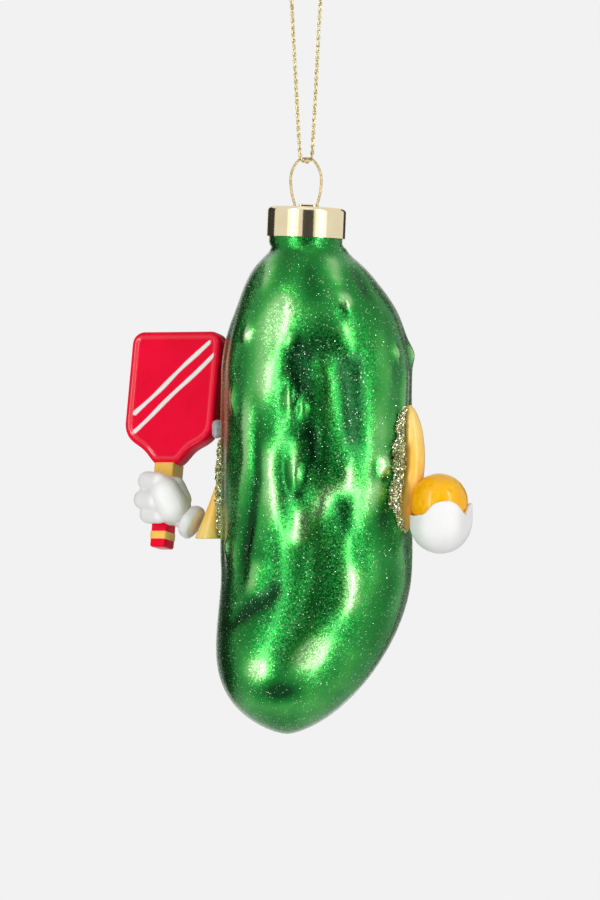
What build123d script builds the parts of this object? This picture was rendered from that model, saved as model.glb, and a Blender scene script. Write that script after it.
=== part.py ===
from build123d import *
from math import asin, atan, cos, exp, pi, radians, sin, sqrt, tan
import os

# A blown-glass pickle ornament that holds a paddle and a ball, on a wire hanger and a gold cord.
# Millimetres. The origin is where a hook bears in the top of the cord's loop, X runs to the
# right, Y away from the viewer and Z up.

os.makedirs("parts", exist_ok=True)

# Fits
GLUE_LINE = 0.12
PAINT_FIT = 0.05
CORD_CLEARANCE = 0.10
NECK_CLEARANCE = 0.10

# Cord: two strands that hang from the hook and fold under the top of the wire ring
CORD_DIAMETER = 0.8
LOOP_DROP = 45.0
SHOULDER_DROP = 6.2
STRAND_HALF_GAP_TOP = 3.4
STRAND_HALF_GAP_RING = 1.3
STRAND_HALF_DEPTH_TOP = 0.6
STRAND_HALF_DEPTH_RING = 1.0
KNOT_RADIUS = 1.15
KNOT_HALF_HEIGHT = 1.25
KNOT_RISE = 1.85
TAIL_LENGTH = 4.2
TAIL_LEAN = 13.0

# Hanger wire: an oval ring whose two legs spring against the neck
WIRE_DIAMETER = 0.55
RING_TOP_FLAT = 0.9
RING_TOP_RADIUS = 1.9
RING_TOP_ANGLE = 50.0
RING_HALF_WIDTH = 3.4
RING_TO_WAIST = 9.9
WAIST_HALF_WIDTH = 2.55
WAIST_BEND = 1.2
LEG_SPLAY = 24.0
LEG_BEND = 2.0
LEG_OFFSET = 6.0
LEG_TAIL = 10.0

# Hanger cap
RING_TO_CAP = 10.85
CAP_SHIFT = 0.25
CAP_RADIUS = 8.75
CAP_SHEET = 0.5
CAP_HEIGHT = 6.7
CAP_EDGE_RADIUS = 1.0
BRIDGE_LENGTH = 3.8
BRIDGE_WIDTH = 3.4
BRIDGE_RISE = 0.75
SLOT_START = 2.05
SLOT_END = 6.95
SLOT_WIDTH = 0.95

# Glass body: depths run down from the foot of the neck to the tip
NECK_LEAN = 2.4
NECK_LENGTH = 7.25
NECK_RADIUS = CAP_RADIUS - CAP_SHEET - NECK_CLEARANCE
CAP_TOP_ABOVE_NECK_FOOT = NECK_LENGTH + CAP_SHEET + NECK_CLEARANCE
GLASS_WALL = 1.2
NECK_RIM_ROUND = 0.5
BELLY_RADIUS = 21.05
BODY_LENGTH = 108.65
SHOULDER_LENGTH = 28.8
SHOULDER_HOLLOW = 1.8
WAIST_DROP = 0.75
WAIST_DEPTH = 2.0
WAIST_HALF_LENGTH = 2.4
NECK_SHIFT = 0.8
NECK_SHIFT_START = 1.5
NECK_SHIFT_END = 11.0
ROUNDING_START = 64.2
BELLY_SHIFT = 2.3
BELLY_SHIFT_END = 16.5
TIP_SHIFT = -6.5
TIP_BEND_START = 72.0
TIP_BEND_LENGTH = 36.0
BELLY_SETBACK = -0.3
TIP_FORWARD = -3.0
DEPTH_RATIO = 0.95
RIDGE_COUNT = 17
RIDGE_HEIGHT = 0.32
RIDGE_START = 10.0
RIDGE_FADE_IN = 16.0
RIDGE_END = 66.0
RIDGE_FADE_OUT = 22.0
RIDGE_SWAY = 0.085
RELIEF_FADE = 8.0
SECTION_COUNT = 76
SECTION_POINTS = 96

# Warts, ridges and hollows on the seen side: across, depth, half width, half length, height
SEEN_RELIEF = (
    (-6.2, 17.5, 2.7, 2.7, 0.8), (-12.8, 20.8, 1.5, 1.6, 0.8), (8.0, 13.1, 1.6, 1.8, 0.8),
    (19.9, 24.6, 1.6, 1.8, 0.8), (23.5, 23.7, 2.0, 2.0, 1.0), (-15.9, 34.1, 1.5, 3.1, 0.6),
    (-9.3, 33.0, 1.5, 6.2, 0.8), (-3.5, 33.7, 1.5, 3.1, 0.9), (-0.4, 35.7, 1.5, 2.2, 0.7),
    (-2.0, 26.4, 3.1, 3.5, -0.7), (10.9, 31.5, 2.0, 8.9, -0.7), (5.8, 32.3, 1.6, 5.5, 0.5),
    (15.1, 35.9, 1.8, 6.6, 0.5), (-1.6, 44.7, 1.5, 3.5, 0.6), (1.6, 45.2, 1.5, 4.4, -0.5),
    (-2.4, 53.6, 1.6, 2.0, 1.1), (-4.9, 53.8, 1.5, 2.0, -0.4), (0.7, 55.6, 1.5, 2.0, -0.4),
    (-6.6, 62.5, 1.5, 4.0, 0.7), (-1.6, 61.4, 1.5, 4.0, 0.6), (2.4, 62.9, 1.5, 3.1, 0.5),
    (5.8, 56.9, 1.6, 3.1, 0.5), (13.7, 48.1, 1.6, 5.5, 0.6), (17.5, 49.4, 1.5, 1.5, 0.9),
    (16.8, 61.4, 2.7, 3.5, -0.6), (10.0, 75.3, 1.6, 6.2, 0.6), (-17.3, 67.1, 1.5, 2.2, 0.6),
    (-11.7, 73.1, 1.5, 4.0, 0.6), (-14.4, 61.4, 1.6, 12.2, -0.7), (-16.8, 82.8, 2.0, 1.6, -0.7),
    (-12.4, 80.0, 2.0, 1.6, -0.6), (-10.4, 93.3, 3.1, 2.7, 0.5), (1.1, 91.0, 3.1, 2.9, 0.4),
    (-5.3, 97.2, 2.7, 2.0, -0.5),
)
HIDDEN_WARTS = 26
HIDDEN_WART_HEIGHT = 0.8
HIDDEN_WART_WIDTH = 1.9
HIDDEN_WART_START = 16.0
HIDDEN_WART_RUN = 76.0

# The sides of the belly, from which the arms, the paddle and the ball take their places
RIGHT_SIDE = BELLY_SHIFT + BELLY_RADIUS
LEFT_SIDE = BELLY_SHIFT - BELLY_RADIUS

# Paddle: its own frame stands on the handle in the middle of the fist
PADDLE_BESIDE = 12.45
PADDLE_BACK = 9.0
PADDLE_LEVEL = -121.1
PADDLE_PLACE = (LEFT_SIDE - PADDLE_BESIDE, PADDLE_BACK, PADDLE_LEVEL)
PADDLE_PITCH = 10.0
PADDLE_YAW = -30.0
BLADE_WIDTH = 22.9
BLADE_THICKNESS = 4.2
BLADE_TOP = 38.3
BLADE_BOTTOM = 8.5
BLADE_TAPER = 6.6
BLADE_FOOT = 5.6
BLADE_CORNER = 2.6
BLADE_SIDE_CORNER = 5.0
BLADE_EDGE = 0.8
STRIPE_WIDTH = 0.85
STRIPE_DEPTH = 0.25
STRIPE_PROUD = 0.06
STRIPE_ANGLE = 44.0
STRIPE_HEIGHTS = (27.95, 24.6)
STRIPE_LENGTHS = (25.0, 26.4)
STRIPE_MIDDLES = (-1.2, 0.6)
HANDLE_SIDE = 5.0
HANDLE_END = -3.9
GRIP_WIDTH = 3.8
GRIP_DEPTH = 4.7
GRIP_END = -10.5
BAND_TOP = -6.9
BAND_BOTTOM = -8.7
BAND_INLET = 0.4
ROOM_SPARE = 5.0

# Paddle glove and cuff
FIST_BESIDE = 12.65
FIST_BACK = 8.4
FIST_LEVEL = -121.0
FIST_MIDDLE = (LEFT_SIDE - FIST_BESIDE, FIST_BACK, FIST_LEVEL)
FIST_RADIUS = 5.0
FIST_HALF_HEIGHT = 5.5
CUFF_BESIDE = 6.75
CUFF_BACK = 5.8
CUFF_LEVEL = -125.5
CUFF_MIDDLE = (LEFT_SIDE - CUFF_BESIDE, CUFF_BACK, CUFF_LEVEL)
CUFF_AXIS = (-0.82, 0.33, 0.47)
CUFF_RADIUS = 3.65
CUFF_LENGTH = 2.9
CUFF_ROUND = 1.1

# Ball and its glove
BALL_BESIDE = 6.0
BALL_BACK = -9.5
BALL_LEVEL = -121.0
BALL_MIDDLE = (RIGHT_SIDE + BALL_BESIDE, BALL_BACK, BALL_LEVEL)
BALL_RADIUS = 6.3
PALM_BESIDE = 6.4
PALM_LEVEL = -125.6
PALM_MIDDLE = (RIGHT_SIDE + PALM_BESIDE, BALL_BACK, PALM_LEVEL)
PALM_RADIUS = 6.8
FINGER_FOOT = 2.6
PALM_RIM = -125.0

# Arms and the glitter beads along them
BALL_ARM_TOP = -99.6
BALL_ARM_LENGTH = 28.4
BALL_ARM_RADIUS = 2.6
BALL_ARM_INSET = 0.6
BALL_ARM_ACROSS = RIGHT_SIDE - BALL_ARM_INSET
BALL_ARM_BOW = 0.9
BALL_ARM_SWEEP = 1.1
BALL_ARM_FRONT = -7.3
PADDLE_ARM_TOP = -113.1
PADDLE_ARM_LENGTH = 15.9
PADDLE_ARM_RADIUS = 3.05
PADDLE_ARM_INSET = 0.05
PADDLE_ARM_ACROSS = LEFT_SIDE + PADDLE_ARM_INSET
PADDLE_ARM_LEAN = 2.9
PADDLE_ARM_FRONT = 1.2
PADDLE_ARM_REACH = 3.2
ARM_DEPTH_RATIO = 1.3
BALL_BEAD_RADIUS = 1.6
PADDLE_BEAD_RADIUS = 1.1
PADDLE_BEAD_RISE = 6.0
DAB_RISE = 16.2
DAB_BEYOND_EDGE = 0.9
DAB_FORWARD = -1.2
DAB_RADIUS = 1.2
DAB_HALF_LENGTH = 0.9

RING_TOP = Vector(0, 0, -LOOP_DROP)
CAP_TOP = Vector(CAP_SHIFT, 0, -LOOP_DROP - RING_TO_CAP)
CAP_FRAME = Location(tuple(CAP_TOP), (0, NECK_LEAN, 0))
NECK_FRAME = CAP_FRAME * Location((0, 0, -CAP_TOP_ABOVE_NECK_FOOT))
NECK_FOOT = NECK_FRAME.position
PADDLE_FRAME = (
    Location(PADDLE_PLACE) * Location((0, 0, 0), (0, 0, PADDLE_YAW)) * Location((0, 0, 0), (-PADDLE_PITCH, 0, 0))
)


def ease(value):
    """A smooth step from 0 to 1."""
    value = min(max(value, 0.0), 1.0)
    return value * value * (3 - 2 * value)


def spheroid(radius, half_height):
    """A ball drawn out along Z."""
    bow = EllipticalCenterArc((0, 0), radius, half_height, start_angle=-90, arc_size=180)
    profile = make_face(bow + Line((0, half_height), (0, -half_height)))
    return revolve(Plane.XZ * profile, Axis.Z)


def save(shape, node):
    """Writes one node and prints what it holds."""
    print(node, "solids", len(shape.solids()), "volume", round(shape.volume, 2), "valid", shape.is_valid)
    export_step(shape, "parts/" + node + ".step")


# Glass skin

def half_width(depth):
    """Half the pickle's width, measured across at one depth below the foot of the neck."""
    eased = depth * depth / (depth + SHOULDER_HOLLOW) if depth > 0 else 0.0
    rise = (1 - (1 - min(eased / SHOULDER_LENGTH, 1)) ** 2) ** 0.85
    fall_part = min(max((depth - ROUNDING_START) / (BODY_LENGTH - ROUNDING_START), 0), 1)
    fall = (1 - fall_part ** 3.5) ** 0.65
    waist = WAIST_DROP * ease(depth / WAIST_DEPTH) * exp(-((depth - WAIST_DEPTH) / WAIST_HALF_LENGTH) ** 2)
    return (NECK_RADIUS + (BELLY_RADIUS - NECK_RADIUS) * rise - waist) * fall


def centre_across(depth):
    """Where the pickle's curved middle line runs, to the right of the neck's foot."""
    settled = ease((depth - NECK_SHIFT_START) / (NECK_SHIFT_END - NECK_SHIFT_START))
    neck = NECK_SHIFT * ease(depth / NECK_SHIFT_START) * (1 - settled)
    belly = (BELLY_SHIFT - NECK_FOOT.X) * ease(depth / BELLY_SHIFT_END)
    return NECK_FOOT.X + neck + belly + TIP_SHIFT * ease((depth - TIP_BEND_START) / TIP_BEND_LENGTH)


def centre_back(depth):
    """How far the middle line runs back, with the tip coming forward."""
    return BELLY_SETBACK * ease(depth / SHOULDER_LENGTH) + TIP_FORWARD * ease(
        (depth - TIP_BEND_START) / TIP_BEND_LENGTH)


def front_angle(across, depth):
    """The angle from the front at which the skin lies at one place across."""
    share = (across - centre_across(depth)) / half_width(depth)
    return asin(min(max(share, -0.995), 0.995))


def relief_places():
    """Every wart, ridge and hollow as angle, depth, half width, half length and height."""
    places = []
    for across, depth, wide, long, height in SEEN_RELIEF:
        places.append((front_angle(across, depth), depth, wide, long, height))
    for number in range(HIDDEN_WARTS):
        turn = radians(105 + (number * 61.8) % 150)
        depth = HIDDEN_WART_START + HIDDEN_WART_RUN * (number + 0.5) / HIDDEN_WARTS
        size = HIDDEN_WART_WIDTH * (0.85 + 0.3 * (number % 3) / 2)
        places.append((turn, depth, size, size * 1.2, HIDDEN_WART_HEIGHT))
    return places


RELIEF = relief_places()


def relief(angle, depth):
    """Height of the skin over its plain form."""
    fade = ease((depth - RIDGE_START) / RIDGE_FADE_IN) * (1 - 0.85 * ease((depth - RIDGE_END) / RIDGE_FADE_OUT))
    wave = RIDGE_COUNT * angle + 0.9 * sin(RIDGE_SWAY * depth + 2 * angle) + 0.7 * sin(3 * angle + 0.5)
    total = RIDGE_HEIGHT * fade * cos(wave)
    width = half_width(depth)
    for turn, place, wide, long, height in RELIEF:
        along = (depth - place) / long
        if abs(along) > 3:
            continue
        around = (angle - turn + pi) % (2 * pi) - pi
        aside = around * width / wide
        if abs(aside) < 3:
            total += height * exp(-along * along - aside * aside)
    return total * ease(depth / RELIEF_FADE) * ease((BODY_LENGTH - depth) / RELIEF_FADE)


def skin_section(depth, grow):
    """A closed curve round the skin, moved out along the skin's normal."""
    step = 0.02
    slope = (half_width(min(depth + step, BODY_LENGTH)) - half_width(max(depth - step, 0))) / (2 * step)
    normal = sqrt(1 + slope * slope)
    if depth <= 0:
        slope, normal = 0.0, 1.0
    width = half_width(depth) + grow / normal
    level = depth - grow * slope / normal
    lean = radians(NECK_LEAN) * (1 - ease(depth / 12))
    back = 1 - (1 - DEPTH_RATIO) * ease(depth / 20)
    points = []
    for number in range(SECTION_POINTS):
        angle = 2 * pi * number / SECTION_POINTS
        reach = width + relief(angle, depth)
        across = reach * sin(angle)
        points.append((
            centre_across(depth) + across * cos(lean),
            centre_back(depth) - reach * back * cos(angle),
            NECK_FOOT.Z - level - across * sin(lean),
        ))
    shares = [number / SECTION_POINTS for number in range(SECTION_POINTS + 1)]
    return Wire([Edge.make_spline(points, periodic=True, parameters=shares)])


def skin_solid(grow):
    """The pickle's form below the neck, as one loft through its sections."""
    last = BODY_LENGTH - 0.04
    depths = [last * sin(0.5 * pi * number / (SECTION_COUNT - 1)) for number in range(SECTION_COUNT)]
    return Solid.make_loft([skin_section(depth, grow) for depth in depths])


def neck_bar(radius, low, high):
    """A round bar on the neck's axis."""
    return NECK_FRAME * Pos(0, 0, (low + high) / 2) * Cylinder(radius, high - low)


def glass_body():
    """Hollow blown glass with an open neck."""
    neck = Pos(0, 0, NECK_LENGTH / 2) * Cylinder(NECK_RADIUS, NECK_LENGTH)
    neck = NECK_FRAME * fillet(neck.edges().sort_by(Axis.Z)[-1:], NECK_RIM_ROUND)
    outside = Part() + skin_solid(0) + neck
    inside = Part() + skin_solid(-GLASS_WALL) + neck_bar(NECK_RADIUS - GLASS_WALL, 0, NECK_LENGTH + 1)
    return outside - inside


# Cord, knot, wire and cap

def cord_points():
    """The corners of the cord's route: knot, left strand, fold under the ring, right strand, knot."""
    fold = -LOOP_DROP - WIRE_DIAMETER / 2 - CORD_CLEARANCE - CORD_DIAMETER / 2
    half = [
        (0.45, 0.12, 0.9),
        (STRAND_HALF_GAP_TOP, STRAND_HALF_DEPTH_TOP, -SHOULDER_DROP),
        (STRAND_HALF_GAP_RING, STRAND_HALF_DEPTH_RING, fold),
    ]
    left = [Vector(-x, -y, z) for x, y, z in half]
    right = [Vector(x, y, z) for x, y, z in reversed(half)]
    return left + right


def cord_path():
    """Straight taut runs joined by tangent arcs."""
    points = cord_points()
    radii = []
    for before, corner, after in zip(points, points[1:], points[2:]):
        turn = radians((corner - before).get_angle(after - corner))
        shorter = min((corner - before).length, (after - corner).length)
        radii.append(0.45 * shorter / tan(turn / 2))
    print("cord arc radii", [round(radius, 2) for radius in radii])
    return FilletPolyline(*points, radius=radii)


def hanging_cord(path):
    """The cord's tube."""
    section = Plane(origin=path @ 0, z_dir=path % 0) * Circle(CORD_DIAMETER / 2)
    tube = sweep(section, path=path)
    print("cord length", round(path.length, 1), "volume share",
          round(tube.volume / (path.length * pi * CORD_DIAMETER ** 2 / 4), 4))
    return tube


def cord_knot(cord):
    """The knot that closes the loop, with two short tails."""
    knot = Pos(0, 0, KNOT_RISE) * Rot(0, 0, 90) * Cylinder(KNOT_RADIUS, 2 * KNOT_HALF_HEIGHT)
    knot = fillet(knot.edges().filter_by(GeomType.CIRCLE), 0.6)
    tail = Pos(0, 0, TAIL_LENGTH / 2) * Cylinder(CORD_DIAMETER / 2, TAIL_LENGTH)
    for side in (-1, 1):
        knot += Pos(0.42 * side, 0, KNOT_RISE + 0.6) * Rot(0, TAIL_LEAN * side, 0) * tail
    return knot - cord


def wire_half(side):
    """One half of the ring and its leg, drawn across and up, from the ring's top."""
    lean = NECK_LEAN
    angle = radians(RING_TOP_ANGLE)
    across = RING_TOP_FLAT / 2 + RING_TOP_RADIUS * sin(angle)
    side_radius = (RING_HALF_WIDTH - across) / (1 - sin(angle))
    widest = RING_TOP_RADIUS * (1 - cos(angle)) + side_radius * cos(angle)
    inward = 2 * atan((RING_HALF_WIDTH - WAIST_HALF_WIDTH) / (RING_TO_WAIST - widest))
    low_radius = (RING_TO_WAIST - widest) / sin(inward)
    turn_in = inward * 180 / pi
    start = Vector(side * RING_TOP_FLAT / 2, RING_TOP.Z)
    pieces = [JernArc(start, (side, 0), RING_TOP_RADIUS, -side * RING_TOP_ANGLE)]
    for radius, turn in (
        (side_radius, -side * (90 - RING_TOP_ANGLE)),
        (low_radius, -side * turn_in),
        (WAIST_BEND, side * (LEG_SPLAY + turn_in) - lean),
    ):
        pieces.append(JernArc(pieces[-1] @ 1, pieces[-1] % 1, radius, turn))
    foot = pieces[-1] @ 1
    offset = side * ((foot.X - CAP_TOP.X) * cos(radians(lean)) - (foot.Y - CAP_TOP.Z) * sin(radians(lean)))
    splay = radians(LEG_SPLAY)
    run = (LEG_OFFSET - offset - LEG_BEND * (1 - cos(splay))) / sin(splay)
    pieces.append(Line(foot, foot + (pieces[-1] % 1) * run))
    pieces.append(JernArc(pieces[-1] @ 1, pieces[-1] % 1, LEG_BEND, -side * LEG_SPLAY))
    foot = pieces[-1] @ 1
    pieces.append(Line(foot, foot + (pieces[-1] % 1) * LEG_TAIL))
    return pieces


def hanger_wire():
    """Round wire swept along ring and legs."""
    top = Line((-RING_TOP_FLAT / 2, RING_TOP.Z), (RING_TOP_FLAT / 2, RING_TOP.Z))
    left = wire_half(-1)
    right = wire_half(1)
    drawn = Wire([piece.edge() for piece in left[::-1] + [top] + right])
    path = Plane.XZ * drawn
    section = Plane(origin=path @ 0, z_dir=path % 0) * Circle(WIRE_DIAMETER / 2)
    wire = sweep(section, path=path)
    print("wire length", round(path.length, 1), "volume share",
          round(wire.volume / (path.length * pi * WIRE_DIAMETER ** 2 / 4), 4))
    return wire


def hanger_cap():
    """Drawn sheet cap with a pressed bridge between two slots."""
    shell = Pos(0, 0, -CAP_HEIGHT / 2) * Cylinder(CAP_RADIUS, CAP_HEIGHT)
    shell = fillet(shell.edges().sort_by(Axis.Z)[-1:], CAP_EDGE_RADIUS)
    room = Pos(0, 0, -CAP_SHEET - CAP_HEIGHT / 2) * Cylinder(CAP_RADIUS - CAP_SHEET, CAP_HEIGHT)
    room = fillet(room.edges().sort_by(Axis.Z)[-1:], CAP_EDGE_RADIUS - CAP_SHEET)
    bridge = Pos(0, 0, BRIDGE_RISE / 2) * Box(BRIDGE_LENGTH, BRIDGE_WIDTH, BRIDGE_RISE)
    bridge = fillet(bridge.edges().filter_by(Axis.Z), 0.6)
    bridge = fillet(bridge.edges().group_by(Axis.Z)[-1], 0.3)
    hollow = Pos(0, 0, -CAP_SHEET) * Box(
        BRIDGE_LENGTH - 2 * CAP_SHEET, BRIDGE_WIDTH - 2 * CAP_SHEET, 2 * BRIDGE_RISE)
    cap = shell - room + bridge - hollow
    slot = Box(SLOT_END - SLOT_START, SLOT_WIDTH, 2)
    slot = fillet(slot.edges().filter_by(Axis.Z), SLOT_WIDTH / 2 - 0.02)
    for side in (-1, 1):
        cap -= Pos(side * (SLOT_START + SLOT_END) / 2, 0, 0) * slot
    return CAP_FRAME * cap


# Paddle

def blade_blank():
    """The blade with its rounded rim, in the paddle's own frame."""
    half = BLADE_WIDTH / 2
    outline = Polyline(
        (-BLADE_FOOT / 2, BLADE_BOTTOM), (BLADE_FOOT / 2, BLADE_BOTTOM),
        (half, BLADE_BOTTOM + BLADE_TAPER), (half, BLADE_TOP), (-half, BLADE_TOP),
        (-half, BLADE_BOTTOM + BLADE_TAPER), close=True)
    face = make_face(outline)
    top = face.vertices().filter_by_position(Axis.Y, BLADE_TOP - 0.1, BLADE_TOP + 0.1)
    face = fillet(top, BLADE_CORNER)
    sides = face.vertices().filter_by_position(
        Axis.Y, BLADE_BOTTOM + BLADE_TAPER - 0.1, BLADE_BOTTOM + BLADE_TAPER + 0.1)
    face = fillet(sides, BLADE_SIDE_CORNER)
    blank = extrude(Plane.XZ * face, BLADE_THICKNESS / 2, both=True)
    rims = blank.edges().filter_by(lambda edge: abs(abs(edge.center().Y) - BLADE_THICKNESS / 2) < 0.01)
    rims = rims.filter_by(lambda edge: edge.center().Z > BLADE_BOTTOM + 0.1)
    return fillet(rims, BLADE_EDGE)


def stripes():
    """Two slanting stripes let into the blade's face."""
    made = Part()
    middle = -BLADE_THICKNESS / 2 + (STRIPE_DEPTH - STRIPE_PROUD) / 2
    for height, length, across in zip(STRIPE_HEIGHTS, STRIPE_LENGTHS, STRIPE_MIDDLES):
        bar = Box(length, STRIPE_DEPTH + STRIPE_PROUD, STRIPE_WIDTH)
        bar = fillet(bar.edges().filter_by(Axis.Y), STRIPE_WIDTH / 2 - 0.02)
        made += Pos(across, middle, height) * Rot(0, -STRIPE_ANGLE, 0) * bar
    return made


def bar_between(width, depth, low, high):
    """A square bar along the paddle's handle."""
    return Pos(0, 0, (low + high) / 2) * Box(width, depth, high - low)


def paddle_handle():
    """The yellow throat, which goes on down through the fist."""
    bar = bar_between(HANDLE_SIDE, HANDLE_SIDE, HANDLE_END, BLADE_BOTTOM)
    return chamfer(bar.edges().filter_by(Axis.Z), 0.35)


def grip_parts():
    """The red grip and the band let in round it."""
    grip = bar_between(GRIP_WIDTH, GRIP_DEPTH, GRIP_END, HANDLE_END)
    grip = chamfer(grip.edges().filter_by(Axis.Z), 0.4)
    grip = fillet(grip.edges().group_by(Axis.Z)[0], 0.35)
    ring = bar_between(GRIP_WIDTH + 0.1, GRIP_DEPTH + 0.1, BAND_BOTTOM, BAND_TOP)
    ring = chamfer(ring.edges().filter_by(Axis.Z), 0.4)
    core = bar_between(GRIP_WIDTH - BAND_INLET, GRIP_DEPTH - BAND_INLET, BAND_BOTTOM, BAND_TOP)
    core = chamfer(core.edges().filter_by(Axis.Z), 0.4)
    band = ring - core
    return grip - band, band


# Gloves and ball

def capsule(start, end, radius):
    """A round-ended bar from one point to another."""
    start, end = Vector(start), Vector(end)
    span = end - start
    bar = Solid.make_cylinder(radius, span.length, Plane(origin=start, z_dir=span))
    return Part() + bar + Pos(*start) * Sphere(radius) + Pos(*end) * Sphere(radius)


def cuff_plane(lift):
    """The plane across the cuff, moved along its axis towards the fist."""
    axis = Vector(CUFF_AXIS).normalized()
    return Plane(origin=Vector(CUFF_MIDDLE) + axis * lift, z_dir=axis)


def glove_cuff():
    """A rolled cuff between fist and sleeve."""
    ring = cuff_plane(-CUFF_LENGTH / 2) * extrude(Circle(CUFF_RADIUS), CUFF_LENGTH)
    return fillet(ring.edges(), CUFF_ROUND)


def paddle_glove(cuff, handle, grip):
    """A fist closed round the handle: back of the hand, three fingers and a thumb."""
    x, y, z = FIST_MIDDLE
    fist = Part() + Pos(x, y, z) * spheroid(FIST_RADIUS, FIST_HALF_HEIGHT)
    unit = FIST_RADIUS
    for across, rise, size in ((-0.84, 0.92, 0.48), (-1.0, 0.10, 0.50), (-0.78, -0.52, 0.44)):
        start = (x + across * unit, y - 0.52 * unit, z + rise * unit)
        end = (x + (across + 0.12) * unit, y + 0.84 * unit, z + (rise - 0.06) * unit)
        fist += capsule(start, end, size * unit)
    fist += capsule((x - 0.02 * unit, y - 0.50 * unit, z + 0.62 * unit),
                    (x + 0.34 * unit, y - 0.46 * unit, z - 0.38 * unit), 0.74 * unit)
    fist += capsule((x - 0.68 * unit, y + 1.0 * unit, z + 0.4 * unit),
                    (x + 0.32 * unit, y + 0.72 * unit, z - 0.4 * unit), 0.48 * unit)
    wrist = Vector(CUFF_MIDDLE) + Vector(CUFF_AXIS).normalized() * (CUFF_LENGTH / 2 + 0.4)
    fist += capsule(wrist, (x, y, z), 0.58 * unit)
    above_cuff = cuff_plane(CUFF_LENGTH / 2) * Pos(0, 0, 2 * unit) * Box(8 * unit, 8 * unit, 4 * unit)
    return (fist & above_cuff) - handle - grip


def ball_glove():
    """A cupped hand under the ball, with finger tips along its rim."""
    x, y, z = PALM_MIDDLE
    bowl = Pos(x, y, z) * Sphere(PALM_RADIUS)
    bowl &= Pos(x, y, PALM_RIM - 2 * PALM_RADIUS) * Box(4 * PALM_RADIUS, 4 * PALM_RADIUS, 4 * PALM_RADIUS)
    hand = Part() + bowl
    for turn, top, size in ((-52, 0.32, 0.26), (-12, 0.62, 0.32), (22, 0.66, 0.32), (84, 0.66, 0.20),
                            (130, 0.50, 0.29), (172, 0.53, 0.31), (215, 0.49, 0.29)):
        radius = size * PALM_RADIUS
        reach = PALM_RADIUS - radius
        aside, front = sin(radians(turn)), -cos(radians(turn))
        start = (x + reach * 0.85 * aside, y + reach * 0.85 * front, z - FINGER_FOOT)
        end = (x + reach * aside, y + reach * front, z + top * PALM_RADIUS - radius)
        hand += capsule(start, end, radius)
    return hand - Pos(*BALL_MIDDLE) * Sphere(BALL_RADIUS + PAINT_FIT)


# Arms

def ball_arm_at(share):
    """Middle and size of the ball arm's section, from its top (0) to its end (1)."""
    swell = (1 - abs(2 * share - 1) ** 3.2) ** 0.55
    bow = BALL_ARM_BOW * sin(pi * min(share * 1.25, 1))
    across = BALL_ARM_ACROSS + bow - BALL_ARM_SWEEP * ease((share - 0.45) / 0.55)
    return across, BALL_ARM_FRONT, BALL_ARM_TOP - BALL_ARM_LENGTH * share, BALL_ARM_RADIUS * swell


def paddle_arm_at(share):
    """Middle and size of the paddle arm's section: a wedge that widens to the elbow."""
    swell = 0.08 + 0.92 * share ** 1.35
    across = PADDLE_ARM_ACROSS - PADDLE_ARM_LEAN * share ** 1.1
    back = PADDLE_ARM_FRONT + PADDLE_ARM_REACH * ease(share)
    return across, back, PADDLE_ARM_TOP - PADDLE_ARM_LENGTH * share, PADDLE_ARM_RADIUS * swell


def arm_form(arm_at, grow):
    """An arm as one loft through upright-standing ellipses."""
    sections = []
    for number in range(15):
        share = 0.004 + 0.992 * (0.5 - 0.5 * cos(pi * number / 14))
        x, y, z, size = arm_at(share)
        sections.append(Plane(origin=(x, y, z)) * Ellipse(size + grow, size * ARM_DEPTH_RATIO + grow))
    return loft(sections)


def ball_bead_at(share):
    """Middle and size of the glitter bead on the glass along the ball arm's front edge."""
    x, y, z, size = ball_arm_at(share)
    thick = BALL_BEAD_RADIUS * (0.12 + 0.88 * sin(pi * share) ** 0.5)
    across = x - size - thick * 0.55
    depth = NECK_FOOT.Z - z
    angle = front_angle(across, depth)
    reach = (half_width(depth) + relief(angle, depth)) * DEPTH_RATIO
    return across, centre_back(depth) - reach * cos(angle) - 0.25, z, thick


def paddle_bead_at(share):
    """The same along the paddle arm, which lies on the pickle's side."""
    x, y, z, size = paddle_arm_at(0.98 * share)
    z += PADDLE_BEAD_RISE * (1 - share)
    thick = PADDLE_BEAD_RADIUS * (0.15 + 0.85 * sin(pi * share) ** 0.5)
    back = y - size * ARM_DEPTH_RATIO - thick * 0.6
    depth = NECK_FOOT.Z - z
    aside = (back - centre_back(depth)) / (half_width(depth) * DEPTH_RATIO)
    return centre_across(depth) - half_width(depth) * sqrt(1 - aside * aside) - 0.3, back, z, thick


def bead_form(bead_at):
    """A bead of glitter as one loft through round sections."""
    sections = []
    for number in range(13):
        x, y, z, size = bead_at(0.02 + 0.96 * number / 12)
        sections.append(Plane(origin=(x, y, z)) * Circle(size))
    return loft(sections)


def largest(shape):
    """The biggest solid of a cut, without the crumbs."""
    return Part() + shape.solids().sort_by(SortBy.VOLUME)[-1]


# Build

route = cord_path()
cord = hanging_cord(route)
save(cord, "hanging_cord")
save(cord_knot(cord), "cord_knot")
save(hanger_wire(), "hanger_wire")
save(hanger_cap(), "hanger_cap")
glass = glass_body()
save(glass, "glass_body")

seat = Part() + skin_solid(GLUE_LINE)
inlays = stripes()
blade = blade_blank()
stripe_inlays = inlays & (blade + Pos(0, -1, 0) * blade)
save(PADDLE_FRAME * stripe_inlays, "blade_stripes")
blade_made = PADDLE_FRAME * (blade - stripe_inlays)
save(blade_made, "paddle_blade")
handle_made = PADDLE_FRAME * paddle_handle()
save(handle_made, "paddle_handle")
grip, band = grip_parts()
grip_made = PADDLE_FRAME * grip
save(grip_made, "paddle_grip")
save(PADDLE_FRAME * band, "grip_band")

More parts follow.
